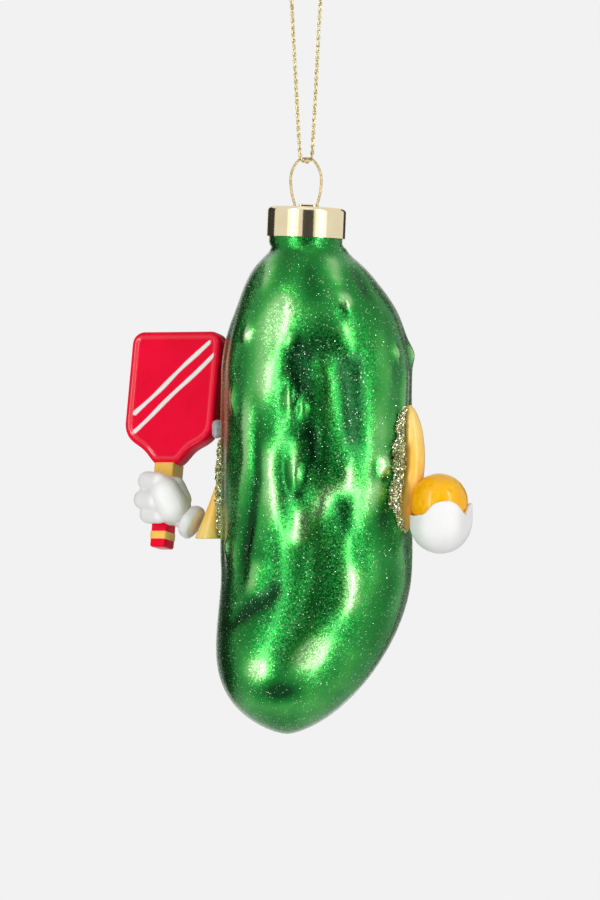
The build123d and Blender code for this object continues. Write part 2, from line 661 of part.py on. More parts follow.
cuff_blank = glove_cuff()
handle_room = PADDLE_FRAME * bar_between(
    HANDLE_SIDE + 2 * PAINT_FIT, HANDLE_SIDE + 2 * PAINT_FIT, HANDLE_END, BLADE_BOTTOM + ROOM_SPARE)
grip_room = PADDLE_FRAME * bar_between(
    GRIP_WIDTH + 2 * PAINT_FIT, GRIP_DEPTH + 2 * PAINT_FIT, GRIP_END - ROOM_SPARE, HANDLE_END)
fist = paddle_glove(cuff_blank, handle_room, grip_room)
save(largest(fist), "paddle_glove")
paddle_arm_blank = arm_form(paddle_arm_at, 0)
cuff = cuff_blank - seat
save(largest(cuff), "paddle_glove_cuff")
cuff_room = cuff_plane(-CUFF_LENGTH / 2 - PAINT_FIT) * extrude(
    Circle(CUFF_RADIUS + ROOM_SPARE), CUFF_LENGTH + 2 * ROOM_SPARE)
paddle_arm = largest(paddle_arm_blank - seat - cuff_room)
save(paddle_arm, "paddle_arm")
paddle_bead = largest(bead_form(paddle_bead_at) - seat - arm_form(paddle_arm_at, PAINT_FIT))
save(paddle_bead, "paddle_arm_glitter")
dab_rise = Vector(0, 0, DAB_HALF_LENGTH)
dab_middle = (PADDLE_FRAME * Location((BLADE_WIDTH / 2 + DAB_BEYOND_EDGE, DAB_FORWARD, DAB_RISE))).position
print("dab middle", dab_middle)
dab = capsule(dab_middle - dab_rise, dab_middle + dab_rise, DAB_RADIUS)
save(largest(dab - seat - PADDLE_FRAME * blade), "paddle_glue_dab")

save(Pos(*BALL_MIDDLE) * Sphere(BALL_RADIUS), "ball")
hand = ball_glove()
save(largest(hand - seat), "ball_glove")
ball_room = Pos(*BALL_MIDDLE) * Sphere(BALL_RADIUS + PAINT_FIT)
palm_room = Pos(*PALM_MIDDLE) * Sphere(PALM_RADIUS + PAINT_FIT)
ball_arm = largest(arm_form(ball_arm_at, 0) - seat - ball_room - palm_room - hand)
save(ball_arm, "ball_arm")
ball_bead = largest(bead_form(ball_bead_at) - seat - arm_form(ball_arm_at, PAINT_FIT))
save(ball_bead, "ball_arm_glitter")
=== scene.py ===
# %% [markdown]
# # A blown-glass pickle ornament
# The ornament hangs from a folded gold cord. A wire ring and a pressed gold cap carry a hollow glass
# pickle, and two gloved arms are glued to its sides: one holds a paddle, the other a ball. The packed
# model gives every place and every moving body, so the first step loads it and sets each node's place
# into its mesh.

# %% Load the imported model
from math import cos, pi, radians, sin, sqrt

import bmesh
import bpy
import numpy as np
from mathutils import Matrix, Vector


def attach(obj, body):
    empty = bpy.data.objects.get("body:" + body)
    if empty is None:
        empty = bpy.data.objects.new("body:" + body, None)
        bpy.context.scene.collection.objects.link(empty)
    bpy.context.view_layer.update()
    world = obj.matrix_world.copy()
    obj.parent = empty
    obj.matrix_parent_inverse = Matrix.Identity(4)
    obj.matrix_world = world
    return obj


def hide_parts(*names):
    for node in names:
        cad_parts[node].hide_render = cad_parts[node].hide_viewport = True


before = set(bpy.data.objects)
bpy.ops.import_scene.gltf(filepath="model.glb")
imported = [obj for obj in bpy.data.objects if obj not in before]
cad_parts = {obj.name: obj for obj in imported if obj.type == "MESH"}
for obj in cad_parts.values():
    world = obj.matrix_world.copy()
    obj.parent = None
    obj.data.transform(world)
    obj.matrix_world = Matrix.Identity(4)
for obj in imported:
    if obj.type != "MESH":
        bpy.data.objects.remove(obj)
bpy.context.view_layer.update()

scene = bpy.context.scene
MM = 0.001

# %% [markdown]
# ## The camera
# The ornament was photographed from straight ahead with a long lens, so that the cap's top and bottom
# edges look straight. One pixel spans 0.2215 mm at the ornament. A camera far off with a narrow
# lens gives the same flat view, and needs no shift.

# %% Camera
PIXEL = 0.2215 * MM
VIEW_DISTANCE = 1.6
PICTURE_HEIGHT = 900
SENSOR = 36.0
VIEW_MIDDLE = Vector((-1.33, 0.0, -109.57)) * MM

camera_data = bpy.data.cameras.new("camera")
camera_data.sensor_width = SENSOR
camera_data.lens = SENSOR * VIEW_DISTANCE / (PICTURE_HEIGHT * PIXEL)
camera = bpy.data.objects.new("camera", camera_data)
camera.location = VIEW_MIDDLE - Vector((0, VIEW_DISTANCE, 0))
camera.rotation_euler = (radians(90), 0, 0)
scene.collection.objects.link(camera)
scene.camera = camera
scene.view_settings.view_transform = "Standard"
print("lens", round(camera_data.lens, 1))

# %% [markdown]
# ## Helpers for node trees and meshes
# Every finish below is a small tree of shader nodes on a Principled shader. These helpers add a node
# with its settings and inputs, make the few patterns that repeat, and link them to the shader.

# %% Helpers for node trees
def feed(tree, socket, value):
    """Gives a socket a plain value, or links it to another socket."""
    if isinstance(value, bpy.types.NodeSocket):
        tree.links.new(value, socket)
    else:
        socket.default_value = value


def add_node(tree, kind, inputs=None, **settings):
    """Adds one node. An input takes a plain value, or a socket to link from."""
    node = tree.nodes.new(kind)
    for name, value in settings.items():
        setattr(node, name, value)
    for name, value in (inputs or {}).items():
        feed(tree, node.inputs[name], value)
    return node


def add_out(tree, kind, inputs=None, **settings):
    """Adds one node and gives its first output."""
    return add_node(tree, kind, inputs, **settings).outputs[0]


def new_finish(name, **constants):
    """A material with a Principled shader whose constant sockets are set."""
    material = bpy.data.materials.new(name)
    material.use_nodes = True
    shader = material.node_tree.nodes["Principled BSDF"]
    for socket, value in constants.items():
        shader.inputs[socket.replace("_", " ")].default_value = value
    return material, material.node_tree, shader


def link(shader, **values):
    """Links values to a shader's inputs, with underscores for the spaces in their names."""
    for name, value in values.items():
        shader.id_data.links.new(value, shader.inputs[name.replace("_", " ")])


def object_place(tree):
    """The Object coordinates, in metres."""
    return add_node(tree, "ShaderNodeTexCoord").outputs["Object"]


def stretched(tree, scale):
    """Object coordinates that are scaled along each axis, for long marks."""
    return add_out(tree, "ShaderNodeMapping", {"Vector": object_place(tree), "Scale": scale})


def attribute(tree, name):
    """A value that the mesh stores at its points."""
    return add_node(tree, "ShaderNodeAttribute", attribute_name=name).outputs["Fac"]


def noise(tree, scale, detail=3.0, place=None):
    """A noise value over Object coordinates. Scale is in waves for each metre."""
    place = object_place(tree) if place is None else place
    inputs = {"Vector": place, "Scale": scale, "Detail": detail, "Roughness": 0.55}
    return add_node(tree, "ShaderNodeTexNoise", inputs).outputs["Fac"]


def grey(value):
    """A colour without a hue."""
    return value, value, value


def ramp(tree, value, *stops):
    """A colour ramp through (place, colour) stops."""
    node = add_node(tree, "ShaderNodeValToRGB", {"Fac": value})
    elements = node.color_ramp.elements
    while len(elements) < len(stops):
        elements.new(0.5)
    for element, (place, colour) in zip(elements, stops):
        element.position = place
        element.color = (*colour, 1.0)
    return node.outputs["Color"]


def spread(tree, value, low, high, from_low=0.0, from_high=1.0):
    """A value between two limits turned into one from low to high."""
    return add_out(tree, "ShaderNodeMapRange", {"Value": value, "From Min": from_low, "From Max": from_high,
                                                "To Min": low, "To Max": high})


def blend(tree, share, first, second):
    """A mix of two colours."""
    inputs = {"Factor": share, 6: first, 7: second}
    return add_node(tree, "ShaderNodeMix", inputs, data_type="RGBA").outputs[2]


def math_node(tree, operation, first, second=0.0):
    """One sum, product or comparison of two values."""
    return add_out(tree, "ShaderNodeMath", {0: first, 1: second}, operation=operation)


def vector_math(tree, operation, inputs):
    """The same with vectors."""
    return add_out(tree, "ShaderNodeVectorMath", inputs, operation=operation)


def bump(tree, height, distance, strength=1.0, under=None):
    """A bump of that depth in metres, over another bump where one is given."""
    inputs = {"Height": height, "Distance": distance, "Strength": strength}
    if under is not None:
        inputs["Normal"] = under
    return add_out(tree, "ShaderNodeBump", inputs)


print("node helpers ready")

# %% [markdown]
# Each piece is a mesh of points and faces. Most are tubes: rings of points, joined row by row and closed
# at both ends. A finished piece then goes onto its body, in the place of the CAD nodes it stands for.

# %% Helpers for meshes
def turns_round(count):
    """Evenly spaced angles round a circle."""
    return [2 * pi * n / count for n in range(count)]


def tube_faces(rows, columns, closed=True):
    """Faces of a grid of rings, with both ends closed where asked."""
    faces = []
    for row in range(rows - 1):
        low, high = row * columns, (row + 1) * columns
        for column in range(columns):
            after = (column + 1) % columns
            faces.append((low + column, low + after, high + after, high + column))
    if closed:
        faces.append(tuple(range(columns - 1, -1, -1)))
        faces.append(tuple((rows - 1) * columns + n for n in range(columns)))
    return faces


def turned_over(faces):
    """The same faces, seen from their other side."""
    return [tuple(reversed(face)) for face in faces]


def new_piece(name, points, faces, material, smooth=True):
    """A mesh object at the origin, from points in metres."""
    mesh = bpy.data.meshes.new(name)
    mesh.from_pydata([tuple(point) for point in points], [], [tuple(face) for face in faces])
    mesh.materials.append(material)
    mesh.polygons.foreach_set("use_smooth", [smooth] * len(mesh.polygons))
    mesh.validate()
    mesh.update()
    piece = bpy.data.objects.new(name, mesh)
    scene.collection.objects.link(piece)
    return piece


def store(piece, name, values):
    """Stores a value at each point of a piece."""
    stored = piece.data.attributes.new(name, "FLOAT", "POINT")
    stored.data.foreach_set("value", values)


def settle(piece, body, slot, *nodes):
    """Puts a finished piece on its body, in the place of the CAD nodes that it stands for."""
    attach(piece, body)
    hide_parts(*nodes)
    print(piece.name, "triangles", sum(len(face.vertices) - 2 for face in piece.data.polygons))


def plain_mesh(holder):
    """The mesh of an object with its curve or modifiers worked out."""
    return bpy.data.meshes.new_from_object(holder.evaluated_get(bpy.context.evaluated_depsgraph_get()))


def baked(piece):
    """Turns a piece's modifiers into a plain mesh."""
    mesh = plain_mesh(piece)
    piece.modifiers.clear()
    old = piece.data
    piece.data = mesh
    mesh.name = piece.name
    bpy.data.meshes.remove(old)
    return piece


def smooth_copy(node, name, material, crease=32.0):
    """A merged copy of a CAD node, shaded smooth except over its sharp edges."""
    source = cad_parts[node].data
    points = [vertex.co for vertex in source.vertices]
    piece = new_piece(name, points, [face.vertices for face in source.polygons], material)
    shape = bmesh.new()
    shape.from_mesh(piece.data)
    bmesh.ops.remove_doubles(shape, verts=shape.verts, dist=0.5e-6)
    bmesh.ops.dissolve_degenerate(shape, edges=shape.edges, dist=1e-7)
    for edge in shape.edges:
        edge.smooth = edge.calc_face_angle(0.0) < radians(crease)
    shape.to_mesh(piece.data)
    shape.free()
    return piece


print("mesh helpers ready")

# %% [markdown]
# ## The studio
# The cap works like a small curved mirror and shows how the ornament was lit: a soft panel with a bright
# narrow core on each side of the camera, a darker gap between them where the camera stands, and dark
# edges from flags at the sides. The same lamps give the long highlights on the glass. The flags only
# show as reflections.

# %% Lamps and flags
AIM = Vector((0, 0, -0.11))


def way_to(azimuth, elevation):
    """Unit vector from the ornament. Azimuth 0 is towards the camera, and 90 to the right."""
    turn, rise = radians(azimuth), radians(elevation)
    return Vector((sin(turn) * cos(rise), -cos(turn) * cos(rise), sin(rise)))


def soft_panel(name, azimuth, elevation, distance, width, height, radiance):
    """An area lamp that faces the ornament, with the brightness that its panel shows."""
    light = bpy.data.lights.new(name, "AREA")
    light.shape = "RECTANGLE"
    light.size = width
    light.size_y = height
    light.energy = radiance * pi * width * height
    lamp = bpy.data.objects.new(name, light)
    way = way_to(azimuth, elevation)
    lamp.location = AIM + way * distance
    lamp.rotation_euler = way.to_track_quat("Z", "Y").to_euler()
    lamp.visible_camera = False
    scene.collection.objects.link(lamp)


def flag(name, azimuth, distance, width, height, material):
    """A standing panel that darkens reflections and nothing else."""
    way = way_to(azimuth, 0)
    side = Vector((-way.y, way.x, 0)) * width / 2
    up = Vector((0, 0, height / 2))
    middle = AIM + way * distance
    corners = [middle - side - up, middle + side - up, middle + side + up, middle - side + up]
    panel = new_piece(name, corners, [(0, 1, 2, 3)], material, smooth=False)
    panel.visible_camera = False
    panel.visible_shadow = False
    panel.visible_diffuse = False


for side, azimuth in (("left", -40), ("right", 44)):
    soft_panel("panel_" + side, azimuth, 0, distance=1.0, width=0.60, height=1.9, radiance=0.5)
    soft_panel("core_" + side, azimuth, 0, distance=0.99, width=0.17, height=1.9, radiance=6.2)
soft_panel("panel_top", -8, 72, distance=1.1, width=0.5, height=0.4, radiance=0.5)

flag_black, _, _ = new_finish("flag_black", Base_Color=(*grey(0.05), 1), Roughness=0.9)
flag_grey, _, _ = new_finish("flag_grey", Base_Color=(*grey(0.20), 1), Roughness=0.9)
flag("flag_camera", 5, distance=1.9, width=1.10, height=1.9, material=flag_grey)
flag("flag_left", -132, distance=1.2, width=1.10, height=1.3, material=flag_black)
flag("flag_right", 150, distance=1.2, width=0.55, height=1.3, material=flag_black)
print("lamps and flags ready")

# %% [markdown]
# The world is the pale backdrop for the camera and for reflections, and a dimmer fill for matt
# surfaces. The floor lies far below and looks as pale as the backdrop.

# %% Floor and world
BACKDROP = 0.887
FILL = 0.32
FLOOR_GLOW = 0.37
FLOOR_LEVEL = -1.15
FLOOR_RADIUS = 0.5
FLOOR_SIDES = 96


def seen_rays(tree):
    """1 for rays that show a surface or the world as it looks, and 0 for those that only carry light."""
    rays = add_node(tree, "ShaderNodeLightPath").outputs
    seen = math_node(tree, "MAXIMUM", rays["Is Camera Ray"], rays["Is Glossy Ray"])
    return math_node(tree, "MAXIMUM", seen, rays["Is Transmission Ray"])


floor_pale, tree, shader = new_finish("floor_pale", Roughness=0.7, Emission_Color=(1, 1, 1, 1))
floor_mottle = noise(tree, 9.0)
link(shader, Emission_Strength=math_node(tree, "MULTIPLY", seen_rays(tree), FLOOR_GLOW),
     Base_Color=ramp(tree, floor_mottle, (0.3, grey(0.80)), (0.7, grey(0.83))))
floor_edge = [(FLOOR_RADIUS * cos(turn), FLOOR_RADIUS * sin(turn), FLOOR_LEVEL)
              for turn in turns_round(FLOOR_SIDES)]
floor = new_piece("floor", floor_edge, [range(FLOOR_SIDES)], floor_pale, smooth=False)

world = bpy.data.worlds.new("studio")
scene.world = world
world.use_nodes = True
tree = world.node_tree
tree.nodes.clear()
fill = add_out(tree, "ShaderNodeBackground", {"Color": (*grey(FILL), 1)})
backdrop = add_out(tree, "ShaderNodeBackground", {"Color": (*grey(BACKDROP), 1)})
mix = add_out(tree, "ShaderNodeMixShader", {"Fac": seen_rays(tree), 1: fill, 2: backdrop})
add_node(tree, "ShaderNodeOutputWorld", {"Surface": mix})
print("floor and world ready")

# %% [markdown]
# ## The gold thread
# The cord is a metallised thread of two plies, twisted together about every three millimetres. Each ply
# is wrapped in a narrow metal foil. Its colour runs from dark gold to near white in short bands and a
# fine grain, which is partly the foil's own light and dark and partly painted glints. The finish reads
# the distance along the ply, which the node tree below stores, so that the bands follow the twist.

# %% Finish of the thread
FOIL_PITCH = 0.42 * MM
thread_gold, tree, shader = new_finish("thread_gold", Metallic=0.85, Specular_IOR_Level=0.6)
wrap = math_node(tree, "SINE", math_node(tree, "MULTIPLY", attribute(tree, "along"), 2 * pi / FOIL_PITCH))
grain = noise(tree, 2600.0, detail=2.0)
glint = math_node(tree, "ADD", math_node(tree, "MULTIPLY", wrap, 0.06), grain)
# Partly painted glints: the foil's colour runs to near white in bands along the wrap and in the grain
link(shader, Base_Color=ramp(tree, glint, (0.34, (0.26, 0.20, 0.05)), (0.54, (0.74, 0.63, 0.29)),
                             (0.75, (0.97, 0.92, 0.70))),
     Roughness=spread(tree, grain, 0.25, 0.5), Normal=bump(tree, wrap, 0.02 * MM, 0.5))
print("thread finish ready")

# %% [markdown]
# ## The twisted cord
# Geometry Nodes lay the plies round a line. The tree for that and the glitter tree further down begin
# and end alike, so three helpers make, close and run such a tree.

# %% Helpers for geometry trees
def new_tree(name, *sizes):
    """A geometry tree with a geometry input and output, and a named input for each size."""
    tree = bpy.data.node_groups.new(name, "GeometryNodeTree")
    tree.interface.new_socket("Geometry", in_out="INPUT", socket_type="NodeSocketGeometry")
    for label, kind, value in sizes:
        socket = tree.interface.new_socket(label, in_out="INPUT", socket_type="NodeSocket" + kind)
        if value is not None:
            socket.default_value = value
    tree.interface.new_socket("Geometry", in_out="OUTPUT", socket_type="NodeSocketGeometry")
    start = tree.nodes.new("NodeGroupInput").outputs
    end = tree.nodes.new("NodeGroupOutput").inputs["Geometry"]
    return tree, start, end


def run_tree(piece, tree, **values):
    """Runs a geometry tree on a piece with these inputs, and keeps the plain mesh."""
    modifier = piece.modifiers.new(tree.name, "NODES")
    modifier.node_group = tree
    for item in tree.interface.items_tree:
        if item.in_out == "INPUT" and item.name.replace(" ", "_") in values:
            modifier[item.identifier] = values[item.name.replace(" ", "_")]
    return baked(piece)


def close_tree(tree, geometry, start, end):
    """Makes real meshes of a tree's geometry and gives them their finish."""
    real = add_out(tree, "GeometryNodeRealizeInstances", {"Geometry": geometry})
    dressed = {"Geometry": real, "Material": start["Finish"]}
    tree.links.new(add_out(tree, "GeometryNodeSetMaterial", dressed), end)


print("tree helpers ready")

# %% [markdown]
# The tree makes two copies of a line. Each copy is pushed out along the line's normal, which turns with
# the distance along it, and is then dressed with a round section.

# %% Ply tree
ply_tree, start, end = new_tree("twisted_plies", ("Plies", "Int", 2), ("Pitch", "Float", 3.0 * MM),
                                ("Lay Radius", "Float", 0.23 * MM), ("Ply Radius", "Float", 0.19 * MM),
                                ("Step", "Float", 0.12 * MM), ("Finish", "Material", None))
tree = ply_tree
line = add_out(tree, "GeometryNodeMeshToCurve", {"Mesh": start["Geometry"]})
line = add_out(tree, "GeometryNodeResampleCurve", {"Curve": line, "Length": start["Step"]}, mode="LENGTH")
copies = add_node(tree, "GeometryNodeDuplicateElements", {"Geometry": line, "Amount": start["Plies"]},
                  domain="SPLINE").outputs
length = add_node(tree, "GeometryNodeSplineParameter").outputs["Length"]
line = add_out(tree, "GeometryNodeStoreNamedAttribute",
               {"Geometry": copies["Geometry"], "Name": "along", "Value": length},
               data_type="FLOAT", domain="POINT")
turns = math_node(tree, "DIVIDE", length, start["Pitch"])
share = math_node(tree, "DIVIDE", copies["Duplicate Index"], start["Plies"])
angle = math_node(tree, "MULTIPLY", math_node(tree, "ADD", turns, share), 2 * pi)
tangent = add_out(tree, "GeometryNodeInputTangent")
normal = add_node(tree, "GeometryNodeInputNormal").outputs["Normal"]
push = add_out(tree, "ShaderNodeVectorRotate", {"Vector": normal, "Axis": tangent, "Angle": angle})
push = vector_math(tree, "SCALE", {0: push, "Scale": start["Lay Radius"]})
line = add_out(tree, "GeometryNodeSetPosition", {"Geometry": line, "Offset": push})
ring = add_out(tree, "GeometryNodeCurvePrimitiveCircle", {"Resolution": 9, "Radius": start["Ply Radius"]})
tube = add_out(tree, "GeometryNodeCurveToMesh", {"Curve": line, "Profile Curve": ring, "Fill Caps": True})
close_tree(tree, add_out(tree, "GeometryNodeSetShadeSmooth", {"Geometry": tube}), start, end)
print("ply tree ready")

# %% [markdown]
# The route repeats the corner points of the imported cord: knot, left strand, fold under the ring, right
# strand, knot. A quadratic NURBS spline makes one smooth line of them, with extra points on the
# straight runs beside the ring and at the shoulders.

# %% Cord
def spline_points(name, corners):
    """The points of a NURBS spline through a route's corners, read from Blender's own curve."""
    curve = bpy.data.curves.new(name, "CURVE")
    curve.dimensions = "3D"
    curve.resolution_u = 24
    spline = curve.splines.new("NURBS")
    spline.points.add(len(corners) - 1)
    for point, corner in zip(spline.points, corners):
        point.co = (*(Vector(corner) * MM), 1.0)
    spline.order_u = 3
    spline.use_endpoint_u = True
    holder = bpy.data.objects.new(name, curve)
    scene.collection.objects.link(holder)
    points = [vertex.co.copy() for vertex in plain_mesh(holder).vertices]
    bpy.data.objects.remove(holder)
    return points


def twisted(name, routes, finish):
    """Twisted plies along one or more lines of points."""
    points, edges = [], []
    for route in routes:
        first = len(points)
        points += route
        edges += [(n, n + 1) for n in range(first, len(points) - 1)]
    mesh = bpy.data.meshes.new(name)
    mesh.from_pydata([tuple(point) for point in points], edges, [])
    piece = bpy.data.objects.new(name, mesh)
    scene.collection.objects.link(piece)
    return run_tree(piece, ply_tree, Finish=finish)


cord_corners = [
    (-0.45, -0.12, 0.9), (-3.4, -0.6, -6.2), (-2.99, -0.68, -13.9), (-1.55, -1.05, -41.0),
    (-1.3, -1.16, -45.775),
    (1.3, 1.16, -45.775),
    (1.55, 1.05, -41.0), (2.99, 0.68, -13.9), (3.4, 0.6, -6.2), (0.45, 0.12, 0.9),
]
cord_line = spline_points("cord_route", cord_corners)
cord = twisted("hanging_cord_thread", [cord_line], thread_gold)
settle(cord, "cord", "gold_thread", "hanging_cord")

# %% [markdown]
# ## The knot
# Above the view the two ends are tied off. The knot is a tight barrel of wraps with two short tails.
# Wraps and tails are three more routes for the same ply tree.

# %% Knot
WRAP_FOOT = 1.0
WRAP_LENGTH = 1.7
WRAP_RADIUS = 0.728
WRAP_TURNS = 2.6
WRAP_STEPS = 26
wrap_corners = []
for step in range(WRAP_STEPS + 1):
    share = step / WRAP_STEPS
    turn = 2 * pi * WRAP_TURNS * share
    wrap_corners.append((WRAP_RADIUS * cos(turn), WRAP_RADIUS * sin(turn), WRAP_FOOT + WRAP_LENGTH * share))
knot_routes = [spline_points("wrap_route", wrap_corners)]
for side in (-1, 1):
    foot = Vector((0.30 * side, 0.12 * side, 0.75))
    tip = Vector((1.55 * side, 0.35 * side, 6.4))
    bend = Vector((0.45 * side, 0.16 * side, 3.4))
    knot_routes.append(spline_points("tail_route", [foot, bend, bend + (tip - bend) * 0.55, tip]))
knot = twisted("cord_knot_wraps", knot_routes, thread_gold)
settle(knot, "cord", "gold_thread", "cord_knot")

# %% [markdown]
# ## Wire and cap
# The hanger wire is drawn spring wire with a thin gold plating, bright but not a perfect mirror. The
# cap is pressed from sheet, polished and gold plated, and it mirrors the studio in upright bands. Their
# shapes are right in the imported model, so each is a merged copy of its node with smooth shading.

# %% Finishes of wire and cap
wire_gold, tree, shader = new_finish("wire_gold", Metallic=1.0)
draw_marks = noise(tree, 1800.0, detail=2.0)
link(shader, Base_Color=ramp(tree, draw_marks, (0.3, (0.34, 0.24, 0.10)), (0.7, (0.62, 0.48, 0.24))),
     Roughness=spread(tree, draw_marks, 0.20, 0.42), Normal=bump(tree, draw_marks, 0.01 * MM, 0.5))

cap_gold, tree, shader = new_finish("cap_gold", Metallic=1.0)
polish = noise(tree, 900.0, detail=4.0, place=stretched(tree, (1.0, 1.0, 0.06)))
dust = noise(tree, 3500.0, detail=2.0)
tarnish = noise(tree, 160.0, detail=4.0)
haze = math_node(tree, "ADD", spread(tree, polish, 0.03, 0.11), spread(tree, dust, 0.0, 0.06))
link(shader, Base_Color=ramp(tree, tarnish, (0.25, (0.80, 0.67, 0.41)), (0.7, (0.90, 0.79, 0.54))),
     Roughness=haze, Normal=bump(tree, polish, 0.012 * MM, 0.5))

wire = smooth_copy("hanger_wire", "hanger_wire_gold", wire_gold, 60.0)
settle(wire, "wire", "hanger_wire", "hanger_wire")
settle(smooth_copy("hanger_cap", "hanger_cap_gold", cap_gold), "cap", "cap_gold", "hanger_cap")

# %% [markdown]
# ## The glass skin
# The pickle is blown into a mould and its relief is soft: long ridges, warts and hollows. A fine grid
# is wrapped on the same profile and middle line as the imported body. The ridges come from a wave round
# the skin. Warts, hollows and folds are soft bumps, listed as they were measured on the seen side, and
# the far side gets warts of the same kind in a regular scatter. The relief also sets the lacquer's
# colour, lighter on crests and deeper in furrows, which is painted highlight and painted shade; some
# bumps are only that paint. The swells only bend the light.

# %% Measures of the skin
NECK_FOOT = Vector((-0.0789, 0.0, -63.6931))
NECK_LEAN = radians(2.4)
NECK_RADIUS = 8.15
NECK_LENGTH = 7.25
GLASS_WALL = 1.2
BELLY_RADIUS = 21.05
BODY_LENGTH = 108.65
SHOULDER_LENGTH = 28.8
SHOULDER_HOLLOW = 1.8
SHOULDER_POWER = 0.85
WAIST_DROP = 0.75
WAIST_DEPTH = 2.0
WAIST_SPREAD = 2.4
NECK_SHIFT = 0.8
NECK_SHIFT_RUN = 1.5
NECK_SHIFT_RETURN = 9.5
ROUNDING_START = 64.2
ROUNDING_POWER = 3.5
TIP_POWER = 0.65
BELLY_SHIFT = 2.3
BELLY_SHIFT_RUN = 16.5
TIP_SHIFT = -6.5
BELLY_SETBACK = -0.3
TIP_FORWARD = -3.0
DEPTH_RATIO = 0.95
BEND_START = 72.0
BEND_LENGTH = 36.0
RIDGE_COUNT = 17
RIDGE_HEIGHT = 0.34
RIDGES_FROM = 10.0
RIDGES_RISE = 16.0
RIDGES_TO = 66.0
RIDGES_FALL = 22.0

# Across, depth, half width and half length of each wart, hollow or swell on the seen side, then its
# height in the relief, which also paints light and shade into the lacquer's colour, and the height that
# the glass alone adds. Where the glass height cancels the relief, the bump is only a painted highlight
# or painted shade
SEEN_BUMPS = (
    (-6.6, 17.2, 3.8, 5.2, 0.85, -0.49), (-4.2, 13.7, 1.6, 1.8, 0.5, 0), (-3.3, 21.9, 1.3, 1.6, 0.6, 0),
    (-12.6, 20.4, 1.2, 1.8, 0.9, 0.40), (-15.7, 34.8, 1.2, 2.8, 0.7, 0.35), (8.6, 13.1, 1.5, 1.8, 1.0, 0.50),
    (8.2, 15.7, 1.5, 1.0, -0.5, 0), (19.7, 24.4, 1.4, 1.8, 0.9, 0.35), (23.9, 24.6, 2.4, 2.8, 1.0, 0.60),
    (-3.5, 34.1, 1.2, 3.4, 0.8, 0), (-0.7, 36.4, 1.1, 2.4, 0.6, 0), (17.3, 49.2, 1.6, 1.7, 1.2, 0),
    (15.2, 50.5, 1.0, 2.2, -0.6, 0), (17.3, 52.4, 1.6, 0.9, -0.5, 0), (-2.2, 51.4, 1.2, 2.4, 0.50, 0),
    (-1.6, 55.6, 2.2, 1.2, -0.6, 0), (16.8, 60.5, 2.7, 3.5, -0.6, 0), (-17.5, 67.3, 1.3, 2.2, 0.7, 0.35),
    (1.1, 91.0, 3.4, 3.6, 0.9, -0.52), (-10.4, 94.0, 2.6, 2.8, 0.9, -0.52),
    (-5.8, 98.9, 3.6, 1.9, -1.15, 0.14), (-5.0, 69.0, 4.5, 6.0, -0.28, 0.16),
    (-8.0, 80.0, 6.0, 6.5, -0.40, 0.23), (-8.9, 30.5, 1.9, 6.5, 0.60, -0.12),
    (1.6, 89.5, 3.0, 3.4, 0.35, -0.20), (-4.0, 103.5, 12.0, 5.0, 0.35, -0.15),
    (-16.0, 74.0, 4.0, 12.0, 0.25, -0.14),
    (-6.6, 18.0, 4.6, 6.5, 0, -0.30), (-14.0, 18.0, 6.0, 8.0, 0, 0.50), (0.5, 20.0, 5.0, 8.0, 0, -0.20),
    (-14.5, 34.0, 4.5, 9.0, 0, 0.35), (0.8, 91.0, 4.2, 4.2, 0, -0.22), (-10.6, 94.0, 3.0, 3.0, 0, -0.10),
    (-6.0, 95.0, 6.5, 7.0, 0, 0.35), (-13.5, 93.5, 8.0, 9.0, 0, 1.00), (8.5, 92.0, 8.0, 9.0, 0, -1.00),
    (17.3, 49.2, 1.8, 2.0, 0, 0.25), (-3.5, 34.1, 1.3, 3.0, 0, 0.55), (-0.7, 36.6, 1.2, 2.3, 0, 0.50),
    (-2.4, 51.6, 1.5, 2.6, 0, 0.80),
)
IN_RELIEF, IN_GLASS = 4, 5
RELIEF_SHARE = 0.58

